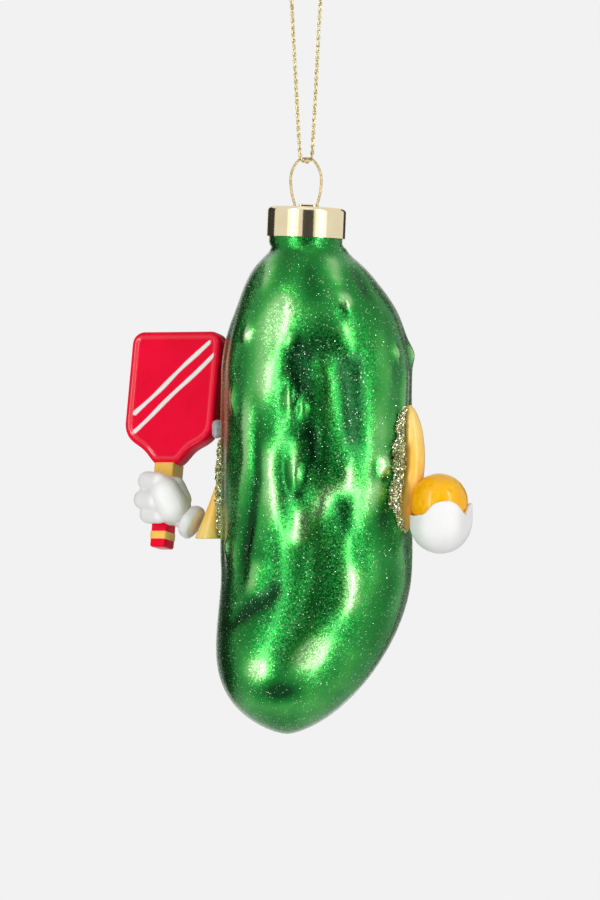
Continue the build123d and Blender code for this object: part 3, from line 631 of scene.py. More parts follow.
# Half width and height of each long fold, and the points that its crest or furrow runs through
FOLDS = (
    (3.2, 0.28, ((-4.0, 4.2), (-4.9, 10.4), (-6.4, 16.6), (-8.4, 22.6), (-9.3, 30.3), (-9.1, 38.5))),
    (2.2, 0.71, ((-9.3, 41.4), (-8.4, 47.0), (-7.8, 52.5), (-7.3, 59.1), (-6.6, 66.9))),
    (2.1, 0.57, ((-14.0, 31.5), (-13.1, 39.2), (-13.1, 47.0), (-14.4, 54.7), (-15.3, 63.6))),
    (2.6, 0.62, ((1.3, 23.3), (3.5, 27.0), (5.3, 32.6), (5.3, 40.3), (4.4, 45.9))),
    (1.8, 0.66, ((-1.8, 41.9), (-2.0, 47.0), (-2.9, 52.9))),
    (2.2, 0.76, ((8.9, 42.7), (9.5, 48.5), (8.6, 52.9), (4.9, 55.2), (3.1, 59.6), (2.9, 63.6))),
    (2.9, 0.50, ((15.9, 31.5), (15.1, 37.0), (14.0, 45.9), (14.6, 53.6), (13.3, 61.4), (12.4, 66.9))),
    (2.1, 0.71, ((-1.3, 57.4), (-1.1, 62.5), (-1.8, 68.0))),
    (2.2, 0.66, ((-10.2, 68.4), (-11.7, 73.5), (-13.3, 79.1))),
    (2.5, 0.71, ((9.3, 68.4), (10.4, 74.2), (9.7, 79.5), (7.1, 84.4))),
    (2.9, 0.43, ((7.6, 17.0), (9.0, 21.5), (11.5, 26.0))),
    (1.7, 0.60, ((-6.8, 2.0), (-7.6, 6.0), (-9.6, 12.5))),
    (1.7, 0.60, ((5.2, 2.0), (6.0, 6.0), (7.6, 11.0))),
    (2.0, -0.50, ((0.2, 3.0), (1.2, 9.0), (2.6, 15.0))),
    (1.6, -0.45, ((9.6, 4.0), (12.0, 9.0), (14.6, 15.0))),
    (3.8, -0.75, ((-0.3, 18.6), (-1.0, 27.6), (1.2, 37.7))),
    (2.9, -1.05, ((4.3, 15.3), (8.6, 25.9), (10.2, 34.8), (10.6, 43.6), (11.5, 54.5))),
    (1.8, -0.60, ((1.0, 37.2), (1.8, 45.4), (2.3, 52.3))),
    (1.7, -0.95, ((-10.9, 31.7), (-10.9, 43.6), (-11.1, 52.5), (-12.2, 61.4), (-14.0, 70.2), (-15.3, 78.6))),
    (1.5, -0.55, ((-4.7, 40.4), (-4.9, 50.3), (-4.0, 59.1), (-3.5, 67.8))),
    (2.2, -0.60, ((7.3, 55.0), (7.8, 60.0), (9.0, 66.0))),
    (1.7, -0.80, ((-4.5, 74.5), (-8.5, 77.6), (-13.0, 81.6), (-19.5, 86.8))),
)
SEAM_ANGLES = (radians(69), radians(-111))
SEAM_HEIGHT = 0.13
SEAM_WIDTH = 0.45
SEAM_START = 30.0
print("bumps", len(SEEN_BUMPS), "folds", len(FOLDS))

# %% [markdown]
# The plain form is a width that changes with the depth below the neck, set round a middle line that
# bends to the left and forward near the tip. A place across on the seen side becomes an angle there.

# %% Plain form of the skin
def ease(value):
    """A smooth step from 0 to 1."""
    value = np.clip(value, 0.0, 1.0)
    return value * value * (3 - 2 * value)


def half_width(depth):
    """Half the pickle's width at a depth below the foot of the neck."""
    depth = np.maximum(depth, 0.0)
    eased = depth * depth / (depth + SHOULDER_HOLLOW)
    rise = (1 - (1 - np.minimum(eased / SHOULDER_LENGTH, 1)) ** 2) ** SHOULDER_POWER
    fall_part = np.clip((depth - ROUNDING_START) / (BODY_LENGTH - ROUNDING_START), 0, 1)
    waist = WAIST_DROP * ease(depth / WAIST_DEPTH) * np.exp(-((depth - WAIST_DEPTH) / WAIST_SPREAD) ** 2)
    width = NECK_RADIUS + (BELLY_RADIUS - NECK_RADIUS) * rise - waist
    return width * (1 - fall_part ** ROUNDING_POWER) ** TIP_POWER


def centre_across(depth):
    """Where the curved middle line runs, to the right."""
    neck = NECK_SHIFT * ease(depth / NECK_SHIFT_RUN)
    neck = neck * (1 - ease((depth - NECK_SHIFT_RUN) / NECK_SHIFT_RETURN))
    belly = (BELLY_SHIFT - NECK_FOOT.x) * ease(depth / BELLY_SHIFT_RUN)
    return NECK_FOOT.x + neck + belly + TIP_SHIFT * ease((depth - BEND_START) / BEND_LENGTH)


def centre_back(depth):
    """How far the middle line runs back, with the tip coming forward."""
    tip = TIP_FORWARD * ease((depth - BEND_START) / BEND_LENGTH)
    return BELLY_SETBACK * ease(depth / SHOULDER_LENGTH) + tip


def front_angle(across, depth):
    """The angle from the front at which the skin lies at one place across."""
    return np.arcsin(np.clip((across - centre_across(depth)) / half_width(depth), -0.995, 0.995))


def seen_bumps(column):
    """Angle, depth, half width, half length and height of the bumps with a height in one column."""
    return [(front_angle(*bump[:2]), *bump[1:4], bump[column]) for bump in SEEN_BUMPS if bump[column]]


FAR_WARTS = 26


def far_wart(number):
    """One wart of the far side, as angle, depth, half width, half length and height."""
    size = 1.9 * (0.85 + 0.3 * (number % 3) / 2)
    turn = radians(105 + (number * 61.8) % 150)
    return turn, 16 + 76 * (number + 0.5) / FAR_WARTS, size, size * 1.2, 0.8


WARTS = seen_bumps(IN_RELIEF) + [far_wart(number) for number in range(FAR_WARTS)]
SWELLS = seen_bumps(IN_GLASS)
print("warts with the far side", len(WARTS))

# %% [markdown]
# The relief is the sum of the wave, the warts, the folds and two mould seams. It fades out at the neck
# and at the tip.

# %% Relief of the skin
def around_from(angle, turn):
    """The turn from one angle to another, from -pi to pi."""
    return (angle - turn + pi) % (2 * pi) - pi


def bumps(angle, depth, places):
    """The height of a list of soft round bumps or hollows."""
    total = 0.0 * angle
    for turn, place, wide, long, height in places:
        along = (depth - place) / long
        aside = around_from(angle, turn) * half_width(depth) / wide
        total = total + height * np.exp(-along * along - aside * aside)
    return total


def fold_height(angle, depth, width, half, height, line):
    """A fold of the skin: a soft ridge or furrow along a bent line on the unrolled skin."""
    spot = [(front_angle(across, level), level) for across, level in line]
    nearest = np.full(np.shape(angle), 1e9)
    travel = np.zeros(np.shape(angle))
    pieces = len(spot) - 1
    for number in range(pieces):
        (turn, level), (next_turn, next_level) = spot[number], spot[number + 1]
        run_across = (next_turn - turn) * half_width(0.5 * (level + next_level))
        run_down = next_level - level
        aside = around_from(angle, turn) * width
        down = depth - level
        share = np.clip((aside * run_across + down * run_down) / (run_across ** 2 + run_down ** 2), 0, 1)
        away = (aside - share * run_across) ** 2 + (down - share * run_down) ** 2
        travel = np.where(away < nearest, (number + share) / pieces, travel)
        nearest = np.minimum(nearest, away)
    ends = ease(travel / 0.35) * ease((1 - travel) / 0.35)
    return height * ends * np.exp(-nearest / half ** 2)


def relief(angle, depth):
    """Height of the skin over its plain form."""
    fade = ease((depth - RIDGES_FROM) / RIDGES_RISE)
    fade = fade * (1 - 0.85 * ease((depth - RIDGES_TO) / RIDGES_FALL))
    hidden = 0.35 + 0.65 * ease((np.abs(around_from(angle, 0.0)) - 0.9) / 0.5)
    wave = RIDGE_COUNT * angle + 0.9 * np.sin(0.085 * depth + 2 * angle) + 0.7 * np.sin(3 * angle + 0.5)
    total = RIDGE_HEIGHT * fade * hidden * np.cos(wave)
    slow = np.sin(7 * angle + 0.11 * depth + 0.6 * np.sin(0.16 * depth))
    slow = slow * np.sin(0.17 * depth + 3 * angle + 1.0)
    quick = np.sin(31 * angle + 1.4 * np.sin(0.21 * depth + 1.0)) * np.sin(0.33 * depth + 5 * angle)
    total = total + fade * (0.16 * slow + 0.04 * quick) + bumps(angle, depth, WARTS)
    width = half_width(depth)
    for half, height, line in FOLDS:
        total = total + fold_height(angle, depth, width, half, height, line)
    for turn in SEAM_ANGLES:
        aside = around_from(angle, turn) * width / SEAM_WIDTH
        total = total + SEAM_HEIGHT * ease((depth - SEAM_START) / SEAM_START) * np.exp(-aside ** 2)
    return total * ease(depth / 4) * ease((BODY_LENGTH - depth) / 8)


def skin_points(depth, angle, grow=0.0):
    """Points of the skin in millimetres, moved along its normal by grow."""
    step = 0.02
    slope = (half_width(np.minimum(depth + step, BODY_LENGTH)) - half_width(depth - step)) / (2 * step)
    slope = np.where(depth <= step, 0.0, slope)
    normal = np.sqrt(1 + slope * slope)
    shape = RELIEF_SHARE * relief(angle, depth) + bumps(angle, depth, SWELLS)
    reach = half_width(depth) + grow / normal + shape
    level = depth - grow * slope / normal
    lean = NECK_LEAN * (1 - ease(depth / 12))
    back = 1 - (1 - DEPTH_RATIO) * ease(depth / 20)
    across = reach * np.sin(angle)
    return np.stack([centre_across(depth) + across * np.cos(lean),
                     centre_back(depth) - reach * back * np.cos(angle),
                     NECK_FOOT.z - level - across * np.sin(lean)], axis=-1)


def neck_points(rise, radius, angle):
    """Points of the neck at a height over its foot."""
    across = radius * np.sin(angle)
    back = -radius * np.cos(angle)
    return np.stack([NECK_FOOT.x + across * cos(NECK_LEAN) + rise * sin(NECK_LEAN), back,
                     NECK_FOOT.z - across * sin(NECK_LEAN) + rise * cos(NECK_LEAN)], axis=-1)


print("relief ready")

# %% [markdown]
# The grid runs from the tip up the outer skin to the neck, over its lip, and back down inside the wall.

# %% Grid of the skin
AROUND = 288
DOWN = 290
INNER_DOWN = 30
DEEPEST = BODY_LENGTH - 0.03
INNER_DEEPEST = BODY_LENGTH - 1.5
TINT_MIDDLE = 0.5
TINT_GAIN = 0.55
LIP = 0.15
BORE = NECK_RADIUS - GLASS_WALL
NECK_PROFILE = ((0.0, NECK_RADIUS), (3.5, NECK_RADIUS), (NECK_LENGTH - 0.5, NECK_RADIUS),
                (NECK_LENGTH - LIP, NECK_RADIUS - LIP), (NECK_LENGTH, NECK_RADIUS - 0.5),
                (NECK_LENGTH, BORE + LIP), (NECK_LENGTH - LIP, BORE), (0.0, BORE))


def rows_down(rows, first=1):
    """Shares of the way to the tip, closer together near it, one in each row of an array."""
    return np.sin(0.5 * pi * np.arange(first, rows + 1) / rows)[:, None]


angles = np.array(turns_round(AROUND))
outer_depths = DEEPEST * rows_down(DOWN)[::-1]
rings = list(skin_points(outer_depths, angles))
rings += [neck_points(rise, radius, angles) for rise, radius in NECK_PROFILE]
rings += list(skin_points(INNER_DEEPEST * rows_down(INNER_DOWN), angles, grow=-GLASS_WALL))
skin_grid = np.concatenate(rings) * MM
# Painted light and shade: the relief's height, which sets only the lacquer's colour and coat
heights = np.full((len(rings), AROUND), TINT_MIDDLE)
heights[:DOWN] = np.clip(TINT_MIDDLE + TINT_GAIN * relief(angles, outer_depths), 0, 1)
faces = tube_faces(len(rings), AROUND)
print("skin points", len(skin_grid), "faces", len(faces))

# %% [markdown]
# The real glass is silvered inside and lacquered green outside, so it behaves like green metal under a
# clear coat. Fine glitter in the lacquer makes it grainy: small cells each lean a little their own way,
# and a few are silver. The relief's height, stored on the mesh, paints light and shade into the lacquer:
# pale green, near white, on the crests and near black in the furrows. It also makes the clear coat
# stronger on the crests. Near the outline one looks along the clear wall, which is pale.

# %% Finish of the skin
CELL_LEAN = 0.20
skin_green, tree, shader = new_finish("skin_green", Coat_Roughness=0.16, Coat_IOR=1.5)
clouds = math_node(tree, "MULTIPLY", math_node(tree, "SUBTRACT", noise(tree, 70.0), 0.5), 0.5)
# Painted highlights and painted shade: the stored relief height takes the lacquer from near black in the
# furrows to pale green on the crests
depth_tone = math_node(tree, "ADD", attribute(tree, "height"), clouds)
lacquer = ramp(tree, depth_tone, (0.12, (0.004, 0.052, 0.012)), (0.38, (0.009, 0.15, 0.023)),
               (0.52, (0.014, 0.23, 0.034)), (0.66, (0.040, 0.37, 0.050)), (0.90, (0.250, 0.58, 0.200)))
coat = ramp(tree, depth_tone, (0.45, grey(0.08)), (0.85, grey(1.0)))
cells = add_node(tree, "ShaderNodeTexVoronoi", {"Vector": object_place(tree), "Scale": 3800.0},
                 feature="F1").outputs
cell_value = add_node(tree, "ShaderNodeSeparateColor", {"Color": cells["Color"]}).outputs[2]
silver = ramp(tree, cell_value, (0.975, grey(0.0)), (0.985, grey(0.35)))
facing = add_node(tree, "ShaderNodeLayerWeight", {"Blend": 0.5}).outputs["Facing"]
wall = spread(tree, facing, 0.0, 0.85, 0.66, 0.95)
tone = blend(tree, silver, lacquer, (0.62, 0.76, 0.55, 1))
tone = blend(tree, wall, tone, (0.46, 0.54, 0.42, 1))
lean = vector_math(tree, "SUBTRACT", {0: cells["Color"], 1: grey(0.5)})
lean = vector_math(tree, "SCALE", {0: lean, "Scale": CELL_LEAN})
peel = bump(tree, noise(tree, 420.0, detail=2.0), 0.05 * MM, 0.35)
normal = vector_math(tree, "NORMALIZE", {0: vector_math(tree, "ADD", {0: peel, 1: lean})})
link(shader, Base_Color=tone, Metallic=math_node(tree, "SUBTRACT", 1.0, wall), Coat_Weight=coat,
     Roughness=spread(tree, cell_value, 0.22, 0.34), Normal=normal, Coat_Normal=peel)

skin = new_piece("pickle_skin", skin_grid, faces, skin_green)
store(skin, "height", heights.ravel())
settle(skin, "pickle", "green_glass", "glass_body")

# %% [markdown]
# ## Silver glitter dust
# Fine square-cut glitter is blown onto the wet lacquer and lies flat with a little tilt, so that only some
# flakes catch a lamp at once. Geometry Nodes scatter small closed plates on a coarse copy of the skin,
# turn each to the skin's normal with a random tilt, and store a random shade for the finish.

# %% Glitter tree
flake_tree, start, end = new_tree(
    "glitter_flakes", ("Density", "Float", 1e6), ("Seed", "Int", 1), ("Smallest", "Float", 0.15 * MM),
    ("Largest", "Float", 0.30 * MM), ("Thickness", "Float", 0.22), ("Tilt", "Float", 0.4),
    ("Finish", "Material", None))
tree = flake_tree


def vector_of(x, y, z):
    """One vector from three values of the glitter tree."""
    return add_out(flake_tree, "ShaderNodeCombineXYZ", {"X": x, "Y": y, "Z": z})


def random_value(kind, low, high, seed):
    """A random number or vector for each flake."""
    node = add_node(flake_tree, "FunctionNodeRandomValue", data_type=kind)
    pair = [socket for socket in node.inputs if socket.name in ("Min", "Max") and socket.enabled]
    for socket, value in zip(pair, (low, high)):
        feed(flake_tree, socket, value)
    feed(flake_tree, node.inputs["Seed"], math_node(flake_tree, "ADD", start["Seed"], seed))
    return [socket for socket in node.outputs if socket.enabled][0]


scattered = add_node(tree, "GeometryNodeDistributePointsOnFaces",
                     {"Mesh": start["Geometry"], "Density": start["Density"], "Seed": start["Seed"]}).outputs
tilt_down = math_node(tree, "MULTIPLY", start["Tilt"], -1.0)
tilt = random_value("FLOAT_VECTOR", vector_of(tilt_down, tilt_down, -pi),
                    vector_of(start["Tilt"], start["Tilt"], pi), 11)
tilt = add_out(tree, "FunctionNodeEulerToRotation", {"Euler": tilt})
turned = add_out(tree, "FunctionNodeRotateRotation", {"Rotation": scattered["Rotation"], "Rotate By": tilt},
                 rotation_space="LOCAL")
flake = add_out(tree, "GeometryNodeMeshCube", {"Size": vector_of(1.0, 1.0, start["Thickness"])})
size = random_value("FLOAT", start["Smallest"], start["Largest"], 23)
flakes = add_out(tree, "GeometryNodeInstanceOnPoints", {"Points": scattered["Points"], "Instance": flake,
                                                        "Rotation": turned, "Scale": size})
flakes = add_out(tree, "GeometryNodeStoreNamedAttribute",
                 {"Geometry": flakes, "Name": "shade", "Value": random_value("FLOAT", 0.0, 1.0, 37)},
                 data_type="FLOAT", domain="INSTANCE")
close_tree(tree, flakes, start, end)
print("glitter tree ready")

# %% [markdown]
# The dust on the pickle is fine and sparse, and a good part of it is tinted green by the lacquer.

# %% Silver dust on the skin
def flake_finish(name, *stops):
    """Bright metal flakes whose colour comes from each flake's own shade."""
    material, tree, shader = new_finish(name, Metallic=1.0)
    link(shader, Base_Color=ramp(tree, attribute(tree, "shade"), *stops),
         Roughness=spread(tree, noise(tree, 5000.0), 0.12, 0.34))
    return material


DUST_AROUND = 96
DUST_DOWN = 110
DUST_START = 0.6
dust_silver = flake_finish("dust_silver", (0.0, (0.10, 0.34, 0.14)), (0.55, (0.42, 0.62, 0.42)),
                           (0.8, (0.80, 0.86, 0.76)), (1.0, (0.97, 0.97, 0.93)))
dust_depths = DUST_START + (DEEPEST - DUST_START) * rows_down(DUST_DOWN, first=0)[::-1]
dust_grid = skin_points(dust_depths, np.array(turns_round(DUST_AROUND)), grow=0.02)
dust = new_piece("silver_dust", dust_grid.reshape(-1, 3) * MM,
                 tube_faces(len(dust_depths), DUST_AROUND, closed=False), dust_silver)
run_tree(dust, flake_tree, Density=0.6e6, Seed=5, Smallest=0.06 * MM, Largest=0.15 * MM, Tilt=0.55,
         Finish=dust_silver)
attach(dust, "pickle")
print("dust flakes", len(dust.data.polygons) // 6)

# %% [markdown]
# ## Painted resin
# The arms, gloves, paddle and ball are cast resin, painted by hand with glossy paint. One recipe serves
# them all: the paint is a little deeper in slow clouds, faint brush marks run over it, tiny dots
# of dust sit in the gloss, and the gloss itself varies.

# %% Paint recipe
CLEAR_RED = 0.08


def paint(name, light, deep, gloss, shine=0.25, marks=(1.0, 1.0, 0.25), relief_depth=0.08, clear=0.0):
    """Glossy hand paint between two tones. The marks scale stretches the brush strokes."""
    material, tree, shader = new_finish(name, Specular_IOR_Level=shine, Coat_Weight=clear,
                                        Coat_Roughness=0.06)
    clouds = noise(tree, 130.0, detail=4.0)
    strokes = noise(tree, 1500.0, place=stretched(tree, marks))
    tone = math_node(tree, "ADD", math_node(tree, "MULTIPLY", clouds, 0.7),
                     math_node(tree, "MULTIPLY", strokes, 0.3))
    dots = add_node(tree, "ShaderNodeTexVoronoi", {"Vector": object_place(tree), "Scale": 420.0})
    specks = spread(tree, dots.outputs["Distance"], 1.0, 0.0, 0.0, 0.10)
    brushed = bump(tree, tone, relief_depth * MM, 0.5)
    link(shader, Base_Color=ramp(tree, tone, (0.32, deep), (0.62, light)),
         Roughness=spread(tree, strokes, gloss - 0.05, gloss + 0.10),
         Normal=bump(tree, specks, 0.03 * MM, 0.5, brushed))
    return material


paint_red = paint("paint_red", (0.96, 0.0006, 0.036), (0.85, 0.0004, 0.026), 0.14, shine=0.06,
                  clear=CLEAR_RED)
paint_white = paint("paint_white", (0.94, 0.92, 0.90), (0.88, 0.85, 0.82), 0.30)
paint_yellow = paint("paint_yellow", (1.0, 0.66, 0.16), (0.98, 0.52, 0.06), 0.26)
sleeve_yellow = paint("sleeve_yellow", (1.0, 0.72, 0.21), (0.98, 0.52, 0.05), 0.26, shine=0.4,
                      marks=(1.0, 1.0, 0.12))
glove_white = paint("glove_white", (0.87, 0.865, 0.855), (0.81, 0.805, 0.795), 0.36, relief_depth=0.12)
ball_orange = paint("ball_orange", (1.0, 0.52, 0.001), (0.98, 0.43, 0.0008), 0.12, shine=0.2, clear=0.25)
tree = paint_red.node_tree
rim_shine = ramp(tree, attribute(tree, "rim"), (0.0, grey(CLEAR_RED)), (1.0, grey(1.0)))
link(tree.nodes["Principled BSDF"], Coat_Weight=rim_shine)
print("paints ready")

# %% [markdown]
# ## The paddle
# The blade is a flat casting with a soft raised rim, which catches thin lines of light. Its outline is
# drawn once with rounded corners, then repeated in smaller loops that rise and fall to form the rim.
# The clear coat is thick on the rim's inner slope, and the stored value rim tells the paint where.

# %% Paddle blade
PADDLE_FRAME = (Matrix.Translation(Vector((-31.2, 9.0, -121.1))) @ Matrix.Rotation(radians(-30), 4, "Z")
                @ Matrix.Rotation(radians(-10), 4, "X"))
BLADE_HALF = 11.45
BLADE_TOP = 38.3
BLADE_BOTTOM = 8.3
BLADE_SIDE = 15.1
BLADE_FOOT_HALF = 2.8
# Across, height and rounding of each corner, then how far two edges curve inwards
BLADE_CORNERS = ((-BLADE_FOOT_HALF, BLADE_BOTTOM, 0.9), (BLADE_FOOT_HALF, BLADE_BOTTOM, 0.9),
                 (BLADE_HALF, BLADE_SIDE, 5.2), (BLADE_HALF, BLADE_TOP, 2.8), (-BLADE_HALF, BLADE_TOP, 2.8),
                 (-BLADE_HALF, BLADE_SIDE, 5.2))
BLADE_SAGS = {1: 0.55, 5: 0.40}


def placed(points, frame_matrix):
    """Points in millimetres of a piece's own frame, moved to the ornament's, in metres."""
    return [(frame_matrix @ Vector(point)) * MM for point in points]


def rounded_outline(corners, inset, arc_steps=10, edge_steps=8, sags=None):
    """Points round an outline with rounded corners, moved inwards by inset. Some edges sag inwards."""
    spots = [Vector(corner[:2]) for corner in corners]
    count = len(spots)
    runs = [(spots[(n + 1) % count] - spots[n]).normalized() for n in range(count)]
    inward = [Vector((-run.y, run.x)) for run in runs]
    sags = sags or {}
    points = []
    ends = []
    for n in range(count):
        before, after = inward[n - 1], inward[n]
        middle = spots[n] + (before + after) * (inset / (1 + before.dot(after)))
        radius = max(corners[n][2] - inset, 0.12)
        pivot = middle + (before + after) * (radius / (1 + before.dot(after)))
        arc = []
        for step in range(arc_steps + 1):
            share = step / arc_steps
            way = (before * (1 - share) + after * share).normalized()
            arc.append(pivot - way * radius)
        ends.append(arc)
    for n in range(count):
        points += ends[n]
        leave, meet = ends[n][-1], ends[(n + 1) % count][0]
        for step in range(1, edge_steps):
            share = step / edge_steps
            points.append(leave.lerp(meet, share) + inward[n] * sags.get(n, 0.0) * sin(pi * share) ** 2)
    return points


# Inset from the outline and height over the blade's middle, from its face out to its edge
BLADE_RIM = ((2.6, 1.80), (1.9, 1.81), (1.5, 1.92), (1.15, 2.08), (0.8, 2.12), (0.45, 2.04), (0.18, 1.80),
             (0.05, 1.45), (0.0, 1.0))
RIM_SLOPE = (1.0, 1.7)
blade_loops = [(inset, -rise) for inset, rise in BLADE_RIM]
blade_loops += [(inset, rise) for inset, rise in reversed(BLADE_RIM)]
blade_points = []
for inset, rise in blade_loops:
    outline = rounded_outline(BLADE_CORNERS, inset, sags=BLADE_SAGS)
    blade_points += [(point.x, rise, point.y) for point in outline]
blade_faces = turned_over(tube_faces(len(blade_loops), len(outline)))
blade = new_piece("paddle_blade_red", placed(blade_points, PADDLE_FRAME), blade_faces, paint_red)
rim_share = [float(RIM_SLOPE[0] < inset < RIM_SLOPE[1]) for inset, rise in blade_loops]
store(blade, "rim", np.repeat(rim_share, len(outline)))
settle(blade, "pickle", "paddle_red", "paddle_blade")

# %% [markdown]
# The stripes are two strokes of thick white paint, a little uneven, and stand proud of the red.

# %% Stripes
# Height, length, shift across and unevenness of each stripe, then the section of the stroke
STRIPES = ((27.76, 25.0, -0.2, 1), (24.3, 26.8, 0.8, 2))
STRIPE_ANGLE = radians(42.5)
STRIPE_HALF = 0.52
STRIPE_STEPS = 60
STRIPE_PROFILE = ((-1.0, -1.65), (-1.0, -1.86), (-0.7, -2.00), (0.0, -2.05), (0.7, -2.00), (1.0, -1.86),
                  (1.0, -1.65))
stripe_points = []
stripe_faces = []
for height, length, across, seed in STRIPES:
    first = len(stripe_points)
    for step in range(STRIPE_STEPS + 1):
        share = step / STRIPE_STEPS
        run = (share - 0.5) * length
        from_end = min(share, 1 - share) * length
        half = STRIPE_HALF * min(1.0, sqrt(max(from_end, 0.0) / 0.45 + 0.02))
        half *= 1 + 0.10 * sin(5.0 * share * pi + seed) + 0.06 * sin(17.0 * share + 2 * seed)
        drift = 0.10 * sin(3.1 * share * pi + 1.7 * seed)
        for aside, rise in STRIPE_PROFILE:
            over = drift + aside * half
            stripe_points.append((across + run * cos(STRIPE_ANGLE) - over * sin(STRIPE_ANGLE), rise,
                                  height + run * sin(STRIPE_ANGLE) + over * cos(STRIPE_ANGLE)))
    stripe_faces += [tuple(first + n for n in face)
                     for face in turned_over(tube_faces(STRIPE_STEPS + 1, len(STRIPE_PROFILE)))]
stripes = new_piece("blade_stripes_white", placed(stripe_points, PADDLE_FRAME), stripe_faces, paint_white)
settle(stripes, "pickle", "stripe_white", "blade_stripes")

# %% [markdown]
# Throat, grip and band are square bars with softened edges. The same loops make them: a rounded square,
# drawn smaller at both ends so that the ends are domed.

# %% Paddle handle, grip and band
def soft_bar(name, width, depth, low, high, corner, end_round, material):
    """An upright bar of the paddle with rounded corners and softened ends."""
    loops = []
    for step in range(5):
        turn = 0.5 * pi * step / 4
        loops.append((end_round * (1 - sin(turn)), low + end_round * (1 - cos(turn))))
    loops += [(inset, high + low - rise) for inset, rise in reversed(loops)]
    quarters = ((-1, -1), (1, -1), (1, 1), (-1, 1))
    corners = [(side * width / 2, face * depth / 2, corner) for side, face in quarters]
    points = []
    for inset, rise in loops:
        points += [(point.x, point.y, rise) for point in rounded_outline(corners, inset, 5, 4)]
    faces = tube_faces(len(loops), len(points) // len(loops))
    return new_piece(name, placed(points, PADDLE_FRAME), faces, material)


handle = soft_bar("paddle_handle_yellow", width=5.0, depth=5.0, low=-3.9, high=8.55, corner=0.55,
                  end_round=0.3, material=paint_yellow)
grip = soft_bar("paddle_grip_red", width=3.8, depth=4.7, low=-10.5, high=-3.9, corner=0.6,
                end_round=0.55, material=paint_red)
band = soft_bar("grip_band_yellow", width=4.0, depth=4.9, low=-8.7, high=-6.9, corner=0.6,
                end_round=0.22, material=paint_yellow)
settle(handle, "pickle", "paddle_yellow", "paddle_handle")
settle(grip, "pickle", "paddle_red", "paddle_grip")
settle(band, "pickle", "paddle_yellow", "grip_band")

# %% [markdown]
# ## The gloves
# The gloves were modelled by hand and cast, so fingers, thumb and palm run into each other with soft
# creases. Round-ended bars stand for them, a voxel remesh makes one closed skin of the lot, and some
# smoothing gives the creases their softness.

# %% Glove maker
def round_bar(points, faces, start, end, start_radius, end_radius, sides=20, cap_rings=6):
    """Adds a round-ended bar to a list of points and faces."""
    start, end = Vector(start), Vector(end)
    axis = (end - start).normalized()
    turn = axis.to_track_quat("Z", "Y")
    first = len(points)
    rings = []
    for step in range(1, cap_rings + 1):
        rise = 0.5 * pi * (step / cap_rings - 1)
        rings.append((start + axis * start_radius * sin(rise), start_radius * cos(rise)))
    for step in range(cap_rings):
        rise = 0.5 * pi * step / cap_rings
        rings.append((end + axis * end_radius * sin(rise), end_radius * cos(rise)))
    for middle, radius in rings:
        for angle in turns_round(sides):
            points.append(middle + turn @ Vector((radius * cos(angle), radius * sin(angle), 0)))
    faces += [tuple(first + n for n in face) for face in tube_faces(len(rings), sides)]


def hand_form(name, bars, voxel, smoothing, material):
    """One soft closed skin over a set of round-ended bars, given in millimetres."""
    points, faces = [], []
    for start, end, start_radius, end_radius in bars:
        round_bar(points, faces, start, end, start_radius, end_radius)
    piece = new_piece(name, [point * MM for point in points], faces, material)
    remesh = piece.modifiers.new("one_skin", "REMESH")
    remesh.mode = "VOXEL"
    remesh.voxel_size = voxel * MM
    remesh.use_smooth_shade = True
    soften = piece.modifiers.new("soften", "SMOOTH")
    soften.factor = 0.5
    soften.iterations = smoothing
    baked(piece)
    piece.data.materials.clear()
    piece.data.materials.append(material)
    return piece


print("glove maker ready")

# %% [markdown]
# The fist has bars for the hand, the thumb and the wrist, and three fingers that each bend round the
# handle in three bars.

# %% Fist on the paddle
# Start, end, and the radius at each of them
fist_bars = [
    ((-31.0, 7.0, -119.4), (-29.7, 6.7, -122.2), 4.2, 4.2),
    ((-31.5, 4.8, -119.1), (-29.9, 4.6, -122.0), 3.7, 3.9),
    ((-28.9, 6.6, -117.6), (-27.6, 6.8, -120.6), 2.1, 2.2),
    ((-29.4, 6.3, -122.8), (-27.4, 6.4, -124.3), 3.0, 2.8),
]
for level, left, size in ((-116.6, -35.2, 2.25), (-120.7, -36.1, 2.3), (-124.0, -35.0, 2.05)):
    root = (left + 2.4, 4.6, level)
    knuckle = (left, 7.2, level + 0.1)
    joint = (left + 1.4, 11.4, level - 0.2)
    tip = (left + 5.2, 12.4, level - 0.6)
    fist_bars.append((root, knuckle, size * 0.94, size))
    fist_bars.append((knuckle, joint, size, size * 0.95))
    fist_bars.append((joint, tip, size * 0.95, size * 0.9))
fist = hand_form("paddle_glove_white", fist_bars, voxel=0.24, smoothing=5, material=glove_white)
settle(fist, "pickle", "glove_white", "paddle_glove")

# %% [markdown]
# The cuff is a rolled edge: a ring with a round profile, and a little uneven, as if pressed by hand.

# %% Rolled cuff
CUFF_MIDDLE = Vector((-25.5, 5.8, -125.5))
CUFF_AXIS = Vector((-0.82, 0.33, 0.47)).normalized()
# Place along the axis, and radius there
CUFF_PROFILE = ((-1.45, 0.6), (-1.45, 2.6), (-1.38, 3.2), (-1.1, 3.6), (-0.6, 3.84), (0.0, 3.90),
                (0.6, 3.80), (1.1, 3.5), (1.38, 3.05), (1.45, 2.5), (1.45, 0.6))
CUFF_SIDES = 72
cuff_turn = CUFF_AXIS.to_track_quat("Z", "Y")
cuff_points = []
for rise, radius in CUFF_PROFILE:
    for angle in turns_round(CUFF_SIDES):
        wide = radius * (1 + 0.02 * sin(3 * angle + 1.0) + 0.012 * sin(7 * angle))
        cuff_points.append(CUFF_MIDDLE + cuff_turn @ Vector((wide * cos(angle), wide * sin(angle), rise)))
cuff = new_piece("paddle_glove_cuff_white", [point * MM for point in cuff_points],
                 tube_faces(len(CUFF_PROFILE), CUFF_SIDES), glove_white)
settle(cuff, "pickle", "glove_white", "paddle_glove_cuff")

# %% [markdown]
# The other glove is a cupped hand, seen from the back of its fingers. It is a round bowl with faint
# flutes between the fingers. Its rim waves: low beside the little finger, high over the middle ones, and
# the thumb stands at the right.

